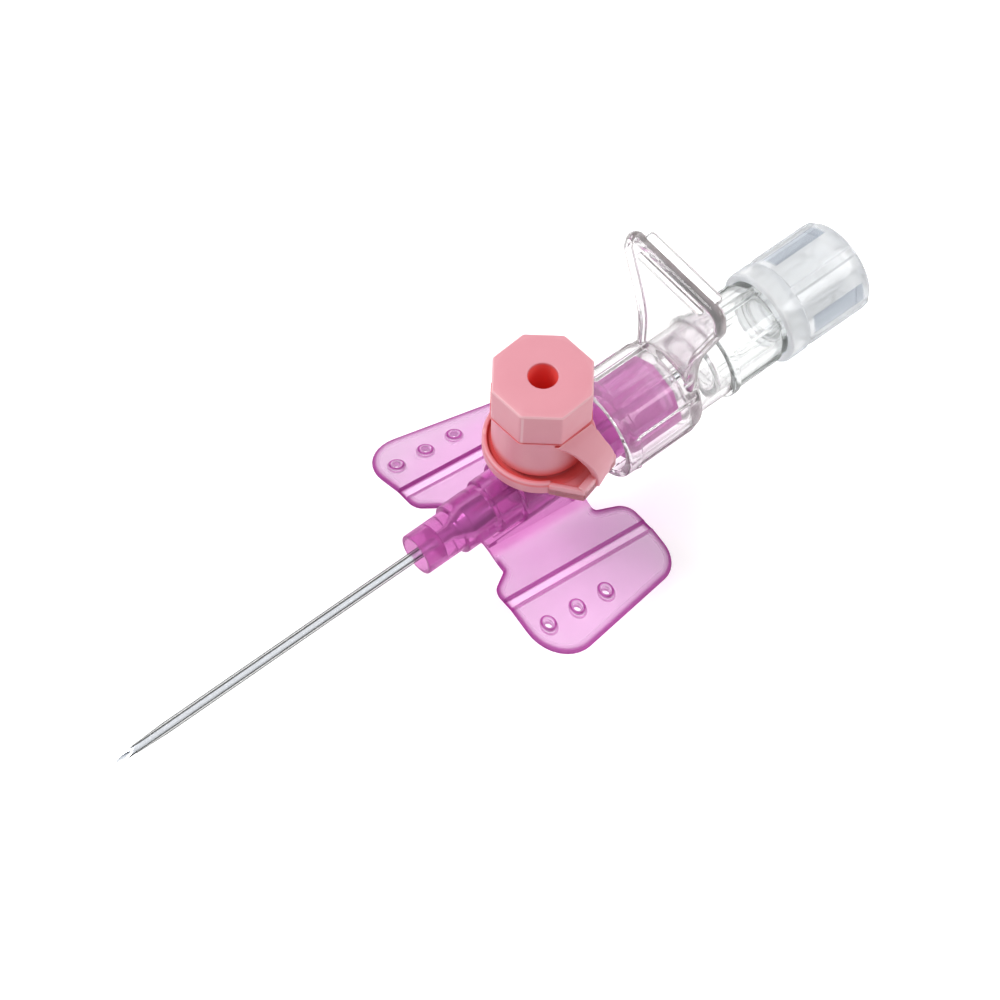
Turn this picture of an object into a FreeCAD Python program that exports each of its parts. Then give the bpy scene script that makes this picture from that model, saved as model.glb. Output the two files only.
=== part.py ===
# Peripheral venous cannula with fixing wings, an injection port and its steel needle still in place.
# Millimetres. +X runs along the cannula axis from the tip to the rear, +Z is up, and the origin is
# the centre of the hub's front face. The port stands on +Z, and its cap's strap is on the -Y side.
import FreeCAD, Part
import math
import os

os.makedirs("parts", exist_ok=True)

# Needle and catheter
needle_outer_radius = 0.355
needle_wall = 0.12
needle_reach = 35.6
bevel_length = 2.6
catheter_outer_radius = 0.55
catheter_wall = 0.14
catheter_reach = 33.0
catheter_taper = 3.4
catheter_tip_wall = 0.035
needle_running_gap = 0.02
wedge_length = 2.6
wedge_wall = 0.2
wedge_flare_length = 2.0
wedge_seat_radius = 1.3

# Catheter hub
nose_radius = 2.15
nose_length = 4.4
nose_recess_radius = 1.75
nose_recess_depth = 2.4
front_wall = 1.5
first_step_radius = 2.6
first_step_length = 4.1
second_step_radius = 2.9
second_step_length = 2.5
barrel_radius = 3.35
barrel_length = 12.9
collar_corner_radius = 4.25
collar_length = 5.9
collar_turn = 4.0
collar_sides = 8
channel_radius = 1.6
luer_mouth_radius = 2.15
luer_depth = 9.6
luer_taper = 0.03
edge_round = 0.2

# Injection port and its valve
port_x = 15.1
port_radius = 3.3
port_ring_seat = 4.5
port_lip_radius = 3.55
port_lip_height = 0.45
port_top_radius = 3.0
port_top_height = 0.6
port_bore_radius = 2.15
valve_wall = 0.5
valve_length = 6.6
glued_gap = 0.01

# Wings
wing_thickness = 0.75
wing_pitch = 11.7
wing_height = -3.6
wing_height_at = 5.0
wing_root_half_width = 2.5
wing_root_rise = 1.15
wing_root_blend = 5.4
groove_inner = 7.5
groove_width = 1.06
groove_floor = 0.32
wing_droop = 17.0
wing_front_root = 7.0
wing_rear_root = 19.35
wing_front_flare = 4.7
wing_rear_flare = 22.85
wing_tip_front = 15.95
wing_tip_rear = 12.9
eyelet_count = 3
eyelet_pitch = 3.65
eyelet_x = 10.55
eyelet_y = 11.6
eyelet_radius = 0.38
eyelet_boss_radius = 0.8
eyelet_boss_height = 0.25
keel_wall = 0.75
keel_front_wall = 1.2

# Port cap, its ring and its strap
cap_across_flats = 9.43
cap_head_height = 4.35
cap_head_bottom = 11.9
cap_turn = 3.7
cap_sides = 8
cap_chamfer = 0.25
cap_hole_radius = 1.43
cap_hole_depth = 5.2
stem_radius = 4.65
stem_clearance = 0.06
cap_cavity_clearance = 0.7
cap_cavity_headroom = 0.4
plug_radius = 1.82
plug_tip_radius = 1.66
plug_reach = 1.9
ring_outer_radius = 5.5
ring_height = 1.65
ring_rim_width = 0.9
ring_dish = 0.45
ring_clearance = 0.06
strap_angle = -76.0
strap_width = 4.7
strap_thickness = 0.8
strap_reach = 7.25
strap_wall_height = 1.2
strap_foot_angle = -70.0
strap_foot_width = 3.2
strap_foot_rise = 1.05
strap_top_angle = -89.0
strap_top_width = 4.1
strap_top_drop = 0.65
strap_sections = 5

# Needle hub
male_luer_gap = 0.03
male_luer_length = 9.0
disc_clearance = 0.8
hub_disc_thickness = 1.7
skirt_radius = 5.1
skirt_wall = 0.65
skirt_length = 8.2
skirt_lip_radius = 5.3
skirt_lip_length = 1.5
skirt_rib_height = 0.16
skirt_rib_width = 0.45
skirt_rib_count = 4
skirt_rib_turn = 28.0
needle_grip_length = 3.2
rear_boss_radius = 4.35
rear_boss_wall = 0.6
rear_boss_length = 4.2

# Finger plate, part of the needle hub
plate_thickness = 1.4
plate_panel_thickness = 0.9
plate_rim_width = 0.75
plate_height = 18.7
plate_neck_half_width = 4.05
plate_neck_height = 8.2
plate_half_width = 6.95
plate_wide_height = 15.9
plate_neck_round = 14.0
plate_side_round = 1.8
plate_top_inset = 0.45
plate_top_round = 1.6
plate_bar_height = 17.2
plate_bar_half_width = 4.5
plate_bar_size = 0.5
plate_ledge_half_width = 5.0
plate_ledge_reach = 0.7
plate_ledge_size = 1.0

# Flash chamber
chamber_radius = 4.2
chamber_wall = 0.7
chamber_length = 7.2
chamber_flange_radius = 4.75
chamber_flange_length = 0.9
chamber_rib_count = 6
chamber_rib_height = 0.3
chamber_rib_width = 0.7
chamber_rib_turn = 10.0
chamber_socket_gap = 0.01
tail_radius = 3.0
tail_length = 6.6
tail_mouth_radius = 2.15

# Rear cap and the vent filter inside it
stopper_radius = 4.95
stopper_wall = 0.75
stopper_length = 10.8
stopper_overlap = 0.8
collar_radius = 5.1
stopper_collar_length = 2.3
stopper_rib_count = 6
stopper_rib_height = 0.3
stopper_rib_width = 1.1
stopper_rib_turn = 10.0
stopper_end_wall = 1.1
stopper_bevel = 0.5
stopper_running_gap = 0.08
stopper_cone_gap = 0.03
stopper_cone_length = 6.0
vent_radius = 1.1
filter_length = 1.6

# Places worked out from the sizes above
first_step_end = nose_length + first_step_length
second_step_end = first_step_end + second_step_length
collar_start = second_step_end + barrel_length
hub_end = collar_start + collar_length
hub_disc_front = hub_end + disc_clearance
skirt_front = hub_disc_front - skirt_length
catheter_inner_radius = catheter_outer_radius - catheter_wall
wedge_start = nose_recess_depth + front_wall
wedge_body_start = wedge_start + wedge_flare_length
wedge_end = wedge_body_start + wedge_length
luer_start = hub_end - luer_depth
valve_start = port_x - valve_length / 2
valve_seat_radius = channel_radius + valve_wall
ring_bottom = port_ring_seat
ring_top = ring_bottom + ring_height
lip_bottom = ring_top - ring_dish + stem_clearance
lip_top = lip_bottom + port_lip_height
port_top = lip_top + port_top_height
stem_bottom = lip_top + stem_clearance
head_top = cap_head_bottom + cap_head_height
disc_rear = hub_disc_front + hub_disc_thickness
boss_end = disc_rear + rear_boss_length
chamber_start = boss_end
chamber_body_start = chamber_start + chamber_flange_length
chamber_body_end = chamber_body_start + chamber_length
tail_end = chamber_body_end + tail_length
stopper_start = chamber_body_end - stopper_overlap
stopper_collar_end = stopper_start + stopper_collar_length
stopper_end = stopper_start + stopper_length

ORIGIN = FreeCAD.Vector(0, 0, 0)
X_AXIS = FreeCAD.Vector(1, 0, 0)
Y_AXIS = FreeCAD.Vector(0, 1, 0)
Z_AXIS = FreeCAD.Vector(0, 0, 1)
PORT = FreeCAD.Vector(port_x, 0, 0)


def rounded_outline(corners, place):
    """A closed wire through corners of (a, b) or (a, b, radius), with an arc at each that has a radius."""
    count = len(corners)
    ends = []
    for i, corner in enumerate(corners):
        a, b = corner[0], corner[1]
        radius = corner[2] if len(corner) > 2 else 0.0
        if radius <= 0:
            ends.append(((a, b), None, (a, b)))
            continue
        before, after = corners[i - 1], corners[(i + 1) % count]
        to_before = (before[0] - a, before[1] - b)
        to_after = (after[0] - a, after[1] - b)
        long_before = math.hypot(*to_before)
        long_after = math.hypot(*to_after)
        unit_before = (to_before[0] / long_before, to_before[1] / long_before)
        unit_after = (to_after[0] / long_after, to_after[1] / long_after)
        cosine = unit_before[0] * unit_after[0] + unit_before[1] * unit_after[1]
        half = math.acos(max(-1.0, min(1.0, cosine))) / 2
        cut = radius / math.tan(half)
        middle = (unit_before[0] + unit_after[0], unit_before[1] + unit_after[1])
        length = math.hypot(*middle)
        depth = radius / math.sin(half) - radius
        start = (a + unit_before[0] * cut, b + unit_before[1] * cut)
        crown = (a + middle[0] / length * depth, b + middle[1] / length * depth)
        finish = (a + unit_after[0] * cut, b + unit_after[1] * cut)
        ends.append((start, crown, finish))
    edges = []
    for i, (start, crown, finish) in enumerate(ends):
        if crown is not None:
            edges.append(Part.Arc(place(*start), place(*crown), place(*finish)).toShape())
        following = ends[(i + 1) % count][0]
        if math.dist(finish, following) > 1e-6:
            edges.append(Part.LineSegment(place(*finish), place(*following)).toShape())
    return Part.Wire(edges)


def turned(corners):
    """A solid of revolution about the cannula axis, from corners of (x, radius)."""
    wire = rounded_outline(corners, lambda x, r: FreeCAD.Vector(x, 0, r))
    return Part.Face(wire).revolve(ORIGIN, X_AXIS, 360)


def turned_upright(corners):
    """A solid of revolution about the port axis, from corners of (radius, z)."""
    wire = rounded_outline(corners, lambda r, z: FreeCAD.Vector(port_x + r, 0, z))
    return Part.Face(wire).revolve(PORT, Z_AXIS, 360)


def rod(start, end, radius):
    """A round bar along the cannula axis."""
    return Part.makeCylinder(radius, end - start, FreeCAD.Vector(start, 0, 0), X_AXIS)


def cone(start, end, start_radius, end_radius):
    """A taper along the cannula axis."""
    return Part.makeCone(start_radius, end_radius, end - start, FreeCAD.Vector(start, 0, 0), X_AXIS)


def post(bottom, top, radius):
    """A round bar along the port axis."""
    return Part.makeCylinder(radius, top - bottom, FreeCAD.Vector(port_x, 0, bottom), Z_AXIS)


def axial_ribs(start, end, count, turn, width, inner, outer):
    """Straight ribs along the cannula axis, spread evenly, the first turned from +Z towards +Y."""
    ribs = []
    for i in range(count):
        rib = Part.makeBox(end - start, width, outer - inner, FreeCAD.Vector(start, -width / 2, inner))
        rib.rotate(ORIGIN, X_AXIS, -(turn + i * 360 / count))
        ribs.append(rib)
    return ribs


def prism(sides, across_corners, turn):
    """Corners of a regular polygon, the first turned by turn degrees from the first direction."""
    corners = []
    for i in range(sides):
        angle = math.radians(turn + i * 360 / sides)
        corners.append((across_corners * math.cos(angle), across_corners * math.sin(angle)))
    return corners


def wing_slope():
    return math.tan(math.radians(wing_pitch))


def wing_level(x):
    """Height of the wing's upper face along the groove."""
    return wing_height - wing_slope() * (x - wing_height_at)


def wing_section_solid(side):
    """One wing's bent section, carried along the pitched direction and longer than the wing."""
    start = wing_front_flare - 1.0
    end = wing_rear_flare + 1.0
    groove_outer = groove_inner + groove_width
    tip = wing_tip_front + 1.0
    tip_drop = -math.tan(math.radians(wing_droop)) * (tip - groove_outer)
    middle = (wing_root_half_width + wing_root_blend) / 2
    level = wing_level(start)

    def place(y, z):
        return FreeCAD.Vector(start, side * y, level + z)

    root = (wing_root_half_width - 0.4, wing_root_rise)
    crown = (middle, wing_root_rise * 0.27)
    blend = (wing_root_blend, 0.0)
    top = [
        Part.Arc(place(*root), place(*crown), place(*blend)).toShape(),
        Part.LineSegment(place(*blend), place(groove_outer, 0)).toShape(),
        Part.LineSegment(place(groove_outer, 0), place(tip, tip_drop)).toShape(),
    ]
    down = wing_thickness
    closing = [
        Part.LineSegment(place(tip, tip_drop), place(tip, tip_drop - down)).toShape(),
        Part.LineSegment(place(tip, tip_drop - down), place(groove_outer, -down)).toShape(),
        Part.LineSegment(place(groove_outer, -down), place(blend[0], -down)).toShape(),
        Part.Arc(
            place(blend[0], -down), place(crown[0], crown[1] - down), place(root[0], root[1] - down)
        ).toShape(),
        Part.LineSegment(place(root[0], root[1] - down), place(*root)).toShape(),
    ]
    face = Part.Face(Part.Wire(top + closing))
    length = end - start
    travel = FreeCAD.Vector(length, 0, -wing_slope() * length)
    panel = face.extrude(travel)
    slot = Part.makePolygon(
        [
            place(groove_inner, 1),
            place(groove_outer, 1),
            place(groove_outer, groove_floor - down),
            place(groove_inner, groove_floor - down),
            place(groove_inner, 1),
        ]
    )
    return panel.cut(Part.Face(slot).extrude(travel))


def wing_outline_solid(side):
    """The wing's plan outline as a tall block."""
    corners = [
        (wing_front_root, 0.0),
        (wing_front_root, 4.7, 0.4),
        (wing_front_flare, 6.1, 1.6),
        (wing_front_flare - 0.2, wing_tip_front, 4.0),
        (wing_rear_flare + 0.1, wing_tip_rear, 2.9),
        (wing_rear_flare, 4.9, 1.8),
        (wing_rear_root, 3.85, 0.5),
        (wing_rear_root, 0.0),
    ]
    bottom = 2 * wing_level(wing_rear_flare) - 2
    wire = rounded_outline(corners, lambda x, y: FreeCAD.Vector(x, side * y, bottom))
    return Part.Face(wire).extrude(FreeCAD.Vector(0, 0, -bottom))


def eyelet(x, side, radius, below, above):
    """A cylinder square to the outer panel at one eyelet."""
    drop = math.tan(math.radians(wing_droop))
    distance = eyelet_y - groove_inner - groove_width
    centre = FreeCAD.Vector(x, side * eyelet_y, wing_level(x) - drop * distance)
    normal = FreeCAD.Vector(wing_slope(), side * drop, 1).normalize()
    return Part.makeCylinder(radius, below + above, centre - normal * below, normal)


def wing(side):
    blank = wing_section_solid(side).common(wing_outline_solid(side))
    for i in range(eyelet_count):
        x = eyelet_x + (i - (eyelet_count - 1) / 2) * eyelet_pitch
        blank = blank.fuse(eyelet(x, side, eyelet_boss_radius, wing_thickness / 2, eyelet_boss_height))
        blank = blank.cut(eyelet(x, side, eyelet_radius, 3, 3))
    return blank


def keel():
    """The fairing between the barrel and the wings, cored out from below."""
    front = wing_level(wing_front_root)
    rear = wing_level(wing_rear_root)
    rise = wing_root_rise
    down = wing_thickness
    half = wing_root_half_width
    corners = [
        (wing_front_root, -1.0),
        (wing_rear_root, -1.0),
        (wing_rear_root, rear + rise - down),
        (wing_front_root, front + rise - down),
    ]
    wire = rounded_outline(corners, lambda x, z: FreeCAD.Vector(x, -half, z))
    block = Part.Face(wire).extrude(FreeCAD.Vector(0, 2 * half, 0))
    core_start = wing_front_root + keel_front_wall
    core_end = wing_rear_root - keel_front_wall
    core_top = -barrel_radius - glued_gap
    core = Part.makeBox(
        core_end - core_start,
        2 * (half - keel_wall),
        20,
        FreeCAD.Vector(core_start, keel_wall - half, core_top - 20),
    )
    return block, core


def catheter_hub():
    """Nose, stepped barrel, wings, port tower and rear socket, moulded in one."""
    body = turned(
        [
            (0, 0),
            (0, nose_radius),
            (nose_length, nose_radius),
            (nose_length, first_step_radius, edge_round),
            (first_step_end, first_step_radius),
            (first_step_end, second_step_radius, edge_round),
            (second_step_end, second_step_radius),
            (second_step_end, barrel_radius, edge_round),
            (hub_end, barrel_radius),
            (hub_end, 0),
        ]
    )
    ring = prism(collar_sides, collar_corner_radius, collar_turn)
    wire = rounded_outline(
        [(a, b, edge_round) for a, b in ring], lambda z, y: FreeCAD.Vector(collar_start, y, z)
    )
    body = body.fuse(Part.Face(wire).extrude(X_AXIS * collar_length))
    tower = turned_upright(
        [
            (0, 0),
            (port_radius, 0),
            (port_radius, lip_bottom),
            (port_lip_radius, lip_bottom + port_lip_height / 3),
            (port_lip_radius, lip_top - port_lip_height / 3),
            (port_top_radius, lip_top),
            (port_top_radius, port_top, edge_round),
            (0, port_top),
        ]
    )
    block, core = keel()
    body = body.fuse([tower, block, wing(1), wing(-1)])
    luer_base_radius = luer_mouth_radius - luer_taper * luer_depth
    inside = [
        rod(-1, nose_recess_depth, nose_recess_radius),
        rod(nose_recess_depth, wedge_start, catheter_outer_radius + glued_gap),
        cone(wedge_start, wedge_body_start, catheter_outer_radius + glued_gap, wedge_seat_radius),
        rod(wedge_body_start, wedge_end, wedge_seat_radius),
        rod(wedge_end, luer_start, channel_radius),
        rod(valve_start, valve_start + valve_length, valve_seat_radius + glued_gap),
        cone(luer_start, hub_end, luer_base_radius, luer_mouth_radius),
        post(0, port_top + 1, port_bore_radius),
        core,
    ]
    return body.cut(inside).removeSplitter()


def catheter_tube():
    """The soft tube, tapered at its tip and flared over the wedge inside the hub."""
    tip_inner = needle_outer_radius + needle_running_gap
    tip_outer = tip_inner + catheter_tip_wall
    taper_end = catheter_taper - catheter_reach
    flare_end = wedge_body_start - glued_gap
    flare_outer = wedge_seat_radius - 3 * glued_gap
    return turned(
        [
            (-catheter_reach, tip_inner),
            (-catheter_reach, tip_outer),
            (taper_end, catheter_outer_radius),
            (wedge_start, catheter_outer_radius),
            (flare_end, flare_outer),
            (flare_end, flare_outer - catheter_wall),
            (wedge_start, catheter_inner_radius),
            (taper_end, catheter_inner_radius),
        ]
    )


def catheter_wedge():
    """The metal funnel that holds the tube's flared end in the hub."""
    outer = wedge_seat_radius - glued_gap
    cone_outer = wedge_seat_radius - 3 * glued_gap - catheter_wall - glued_gap
    throat = needle_outer_radius + needle_running_gap + glued_gap
    share = 0.35
    nose = wedge_start + share * wedge_flare_length
    nose_outer = catheter_inner_radius + share * (cone_outer - catheter_inner_radius) - glued_gap
    return turned(
        [
            (nose, throat),
            (nose, nose_outer),
            (wedge_body_start, cone_outer),
            (wedge_body_start, outer),
            (wedge_end, outer),
            (wedge_end, outer - wedge_wall),
            (wedge_body_start + wedge_wall, outer - wedge_wall),
        ]
    )


def port_valve():
    """The silicone sleeve that closes the port until liquid is pressed through it."""
    outer = rod(valve_start, valve_start + valve_length, valve_seat_radius)
    return outer.cut(rod(valve_start - 1, valve_start + valve_length + 1, channel_radius))


def cap_ring():
    """The ring round the port tower, a shallow dish with a tab towards the strap."""
    bore = port_radius + ring_clearance
    dish = ring_top - ring_dish
    ring = turned_upright(
        [
            (bore, ring_bottom),
            (ring_outer_radius, ring_bottom, edge_round),
            (ring_outer_radius, ring_top, edge_round),
            (ring_outer_radius - ring_rim_width, ring_top, edge_round),
            (ring_outer_radius - ring_rim_width, dish),
            (bore, dish),
        ]
    )
    tab = Part.makeBox(
        strap_reach - strap_thickness - bore - 1,
        strap_width,
        strap_thickness,
        FreeCAD.Vector(port_x + bore + 1, -strap_width / 2, ring_bottom),
    )
    tab.rotate(PORT, Z_AXIS, strap_angle)
    hollow = post(ring_bottom - 1, ring_top + 1, ring_outer_radius - ring_rim_width)
    return ring.fuse(tab.cut(hollow)).removeSplitter()


def cap_strap():
    """The strap: a low wall at the ring's tab and a leg that twists as it rises to the cap's stem."""
    wall = Part.makeBox(
        strap_thickness,
        strap_width,
        strap_wall_height,
        FreeCAD.Vector(port_x + strap_reach - strap_thickness, -strap_width / 2, ring_bottom),
    )
    wall.rotate(PORT, Z_AXIS, strap_angle)
    half_thick = strap_thickness / 2
    foot = (strap_reach - half_thick, ring_bottom + strap_foot_rise)
    top = (stem_radius - half_thick, cap_head_bottom - strap_top_drop)
    slope = math.atan2(top[1] - foot[1], top[0] - foot[0])
    across = (-math.sin(slope) * half_thick, math.cos(slope) * half_thick)
    wires = []
    for i in range(strap_sections):
        share = i / (strap_sections - 1)
        eased = share * share
        angle = math.radians(strap_foot_angle + (strap_top_angle - strap_foot_angle) * eased)
        half_wide = (strap_foot_width + (strap_top_width - strap_foot_width) * eased) / 2
        radius = foot[0] + (top[0] - foot[0]) * share
        level = foot[1] + (top[1] - foot[1]) * share
        corners = []
        for side, face in ((-1, -1), (1, -1), (1, 1), (-1, 1)):
            out = radius + face * across[0]
            along = side * half_wide
            corners.append(
                FreeCAD.Vector(
                    port_x + out * math.cos(angle) - along * math.sin(angle),
                    out * math.sin(angle) + along * math.cos(angle),
                    level + face * across[1],
                )
            )
        wires.append(Part.makePolygon(corners + corners[:1]))
    leg = Part.makeLoft(wires, True, True)
    return wall.fuse(leg).cut(post(0, head_top, stem_radius))


def port_cap():
    """The eight-sided cap with its round stem and the plug that closes the port."""
    corner = cap_across_flats / 2 / math.cos(math.pi / cap_sides)
    ring = prism(cap_sides, corner, cap_turn + 180 / cap_sides)
    wire = rounded_outline(ring, lambda a, b: FreeCAD.Vector(port_x + a, b, cap_head_bottom))
    head = Part.Face(wire).extrude(Z_AXIS * cap_head_height)
    sharp = [edge for edge in head.Edges if edge.BoundBox.ZMin > head_top - 0.01]
    head = head.makeChamfer(cap_chamfer, sharp)
    cavity_radius = port_top_radius + cap_cavity_clearance
    cavity_top = port_top + cap_cavity_headroom
    stem = turned_upright(
        [
            (cavity_radius, stem_bottom),
            (stem_radius, stem_bottom, edge_round),
            (stem_radius, cap_head_bottom),
            (0, cap_head_bottom),
            (0, cavity_top),
            (cavity_radius, cavity_top),
        ]
    )
    plug = Part.makeCone(
        plug_tip_radius,
        plug_radius,
        cavity_top - port_top + plug_reach,
        FreeCAD.Vector(port_x, 0, port_top - plug_reach),
        Z_AXIS,
    )
    hole = post(head_top - cap_hole_depth, head_top + 1, cap_hole_radius)
    return head.fuse([stem, plug]).cut(hole).removeSplitter()


def needle_tube():
    """The steel tube, ground to a slanted point whose opening looks up."""
    end = disc_rear + needle_grip_length
    inner = needle_outer_radius - needle_wall
    tube = rod(-needle_reach, end, needle_outer_radius).cut(rod(-needle_reach - 1, end + 1, inner))
    rise = 2 * needle_outer_radius
    slope = rise / bevel_length
    low = -needle_outer_radius
    high = low + 2 * rise
    grind = Part.makePolygon(
        [
            FreeCAD.Vector(-needle_reach - 1, -1, low - slope),
            FreeCAD.Vector(-needle_reach + high / slope, -1, low + high),
            FreeCAD.Vector(-needle_reach - 1, -1, low + high),
            FreeCAD.Vector(-needle_reach - 1, -1, low - slope),
        ]
    )
    return tube.cut(Part.Face(grind).extrude(Y_AXIS * 2))


def finger_plate():
    """The upright plate behind the skirt, a thin panel inside a raised rim."""
    neck = plate_neck_half_width
    wide = plate_half_width
    corners = [
        (-neck, 0),
        (-neck, plate_neck_height, plate_neck_round),
        (-wide, plate_wide_height, plate_side_round),
        (-wide + plate_top_inset, plate_height, plate_top_round),
        (wide - plate_top_inset, plate_height, plate_top_round),
        (wide, plate_wide_height, plate_side_round),
        (neck, plate_neck_height, plate_neck_round),
        (neck, 0),
    ]
    wire = rounded_outline(corners, lambda y, z: FreeCAD.Vector(hub_disc_front, y, z))
    plate = Part.Face(wire).extrude(X_AXIS * plate_thickness)
    inset = wire.makeOffset2D(-plate_rim_width)
    recess = (plate_thickness - plate_panel_thickness) / 2
    pocket = Part.Face(inset).extrude(X_AXIS * recess)
    for x in (hub_disc_front, hub_disc_front + plate_thickness - recess):
        cut = pocket.copy()
        cut.translate(FreeCAD.Vector(x - hub_disc_front, 0, 0))
        plate = plate.cut(cut)
    size = plate_bar_size
    bar = Part.makeBox(
        recess + size,
        2 * plate_bar_half_width,
        size,
        FreeCAD.Vector(hub_disc_front - size + recess, -plate_bar_half_width, plate_bar_height - size / 2),
    )
    ledge = Part.makeBox(
        plate_ledge_reach + plate_rim_width,
        2 * plate_ledge_half_width,
        plate_ledge_size,
        FreeCAD.Vector(
            hub_disc_front + plate_thickness - plate_rim_width,
            -plate_ledge_half_width,
            plate_height - plate_ledge_size,
        ),
    )
    return plate.fuse([bar, ledge])


def needle_hub():
    """Clear handle: nose for the socket, skirt round it, finger plate and rear boss, moulded in one."""
    mouth = luer_mouth_radius - male_luer_gap
    nose_start = hub_end - male_luer_length
    nose_tip = mouth - luer_taper * male_luer_length
    inner_skirt = skirt_radius - skirt_wall
    shell = turned(
        [
            (skirt_front, inner_skirt),
            (skirt_front, skirt_lip_radius, edge_round),
            (skirt_front + skirt_lip_length, skirt_lip_radius, edge_round),
            (skirt_front + skirt_lip_length, skirt_radius),
            (disc_rear, skirt_radius, 0.9),
            (disc_rear, 0),
            (hub_disc_front, 0),
            (hub_disc_front, inner_skirt),
        ]
    )
    ribs = axial_ribs(
        skirt_front + skirt_lip_length / 2,
        hub_disc_front,
        skirt_rib_count,
        skirt_rib_turn,
        skirt_rib_width,
        inner_skirt + skirt_wall / 2,
        skirt_radius + skirt_rib_height,
    )
    nose = cone(nose_start, hub_end, nose_tip, mouth).fuse(rod(hub_end, hub_disc_front, mouth))
    boss = rod(disc_rear, boss_end, rear_boss_radius)
    hollow = rod(disc_rear, boss_end, rear_boss_radius - rear_boss_wall)
    grip = rod(disc_rear, disc_rear + needle_grip_length / 2, needle_outer_radius + 3 * rear_boss_wall)
    plate = finger_plate().cut(rod(skirt_front, stopper_end, skirt_radius - skirt_wall / 2))
    body = shell.fuse(ribs + [nose, plate, boss]).cut(hollow).fuse(grip)
    bore = rod(nose_start - 1, boss_end + 1, needle_outer_radius + glued_gap)
    return body.cut(bore).removeSplitter()


def flash_chamber():
    """Clear ribbed chamber that shows the blood, with a tail that carries the rear cap."""
    socket = rear_boss_radius - rear_boss_wall - chamber_socket_gap
    spigot_start = disc_rear + needle_grip_length / 2 + chamber_wall
    body = turned(
        [
            (spigot_start, 0),
            (spigot_start, socket),
            (chamber_start, socket),
            (chamber_start, chamber_flange_radius, edge_round),
            (chamber_body_start, chamber_flange_radius, edge_round),
            (chamber_body_start, chamber_radius),
            (chamber_body_end, chamber_radius),
            (chamber_body_end, tail_radius),
            (tail_end, tail_radius, edge_round),
            (tail_end, 0),
        ]
    )
    ribs = axial_ribs(
        chamber_body_start,
        stopper_start - stopper_running_gap,
        chamber_rib_count,
        chamber_rib_turn,
        chamber_rib_width,
        chamber_radius - chamber_wall / 2,
        chamber_radius + chamber_rib_height,
    )
    inner = socket - chamber_wall
    tail_bore = tail_mouth_radius - luer_taper * tail_length
    hollow = turned(
        [
            (spigot_start + chamber_wall, 0),
            (spigot_start + chamber_wall, inner),
            (chamber_body_end - chamber_wall, inner),
            (chamber_body_end - chamber_wall, tail_bore),
            (chamber_body_end, tail_bore),
            (tail_end, tail_mouth_radius),
            (tail_end + 1, tail_mouth_radius),
            (tail_end + 1, 0),
        ]
    )
    inlet = rod(spigot_start - 1, spigot_start + 2 * chamber_wall, needle_outer_radius + glued_gap)
    return body.fuse(ribs).cut([hollow, inlet]).removeSplitter()


def luer_stopper():
    """Frosted rear cap: collar, ribbed shell and the vented cone that plugs the chamber's tail."""
    bore = chamber_radius + stopper_running_gap
    shell_inner = stopper_radius - stopper_wall
    inner = min(bore, shell_inner)
    shell = turned(
        [
            (stopper_start, bore),
            (stopper_start, collar_radius, edge_round),
            (stopper_collar_end, collar_radius, edge_round),
            (stopper_collar_end, stopper_radius),
            (stopper_end, stopper_radius, stopper_bevel),
            (stopper_end, 0),
            (stopper_end - stopper_end_wall, 0),
            (stopper_end - stopper_end_wall, inner - 0.02),
            (stopper_collar_end, inner - 0.02),
            (stopper_collar_end - 0.5, bore),
        ]
    )
    ribs = axial_ribs(
        stopper_collar_end - 0.1,
        stopper_end - stopper_bevel,
        stopper_rib_count,
        stopper_rib_turn,
        stopper_rib_width,
        stopper_radius - stopper_wall / 2,
        stopper_radius + stopper_rib_height,
    )
    mouth = tail_mouth_radius - stopper_cone_gap
    cone_start = tail_end - stopper_cone_length
    plug = cone(cone_start, tail_end, mouth - luer_taper * stopper_cone_length, mouth)
    root = rod(tail_end, stopper_end - stopper_end_wall / 2, mouth)
    vent = rod(cone_start - 1, stopper_end + 1, vent_radius)
    return shell.fuse(ribs + [plug, root]).cut(vent).removeSplitter()


def vent_filter():
    """The porous disc in the rear cap that lets air out and keeps blood in."""
    end = stopper_end - stopper_end_wall
    return rod(end - filter_length, end, vent_radius - glued_gap)


parts = {
    "catheter_hub": catheter_hub(),
    "catheter_tube": catheter_tube(),
    "catheter_wedge": catheter_wedge(),
    "port_valve": port_valve(),
    "cap_ring": cap_ring(),
    "cap_strap": cap_strap(),
    "port_cap": port_cap(),
    "needle_tube": needle_tube(),
    "needle_hub": needle_hub(),
    "flash_chamber": flash_chamber(),
    "luer_stopper": luer_stopper(),
    "vent_filter": vent_filter(),
}

for name, shape in parts.items():
    shape.exportStep("parts/" + name + ".step")
    print(name, shape.ShapeType, len(shape.Solids), round(shape.Volume, 2), shape.isValid())
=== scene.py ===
import math

import bmesh
import bpy
import numpy as np
from mathutils import Matrix, Vector
from mathutils.geometry import delaunay_2d_cdt


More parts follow.
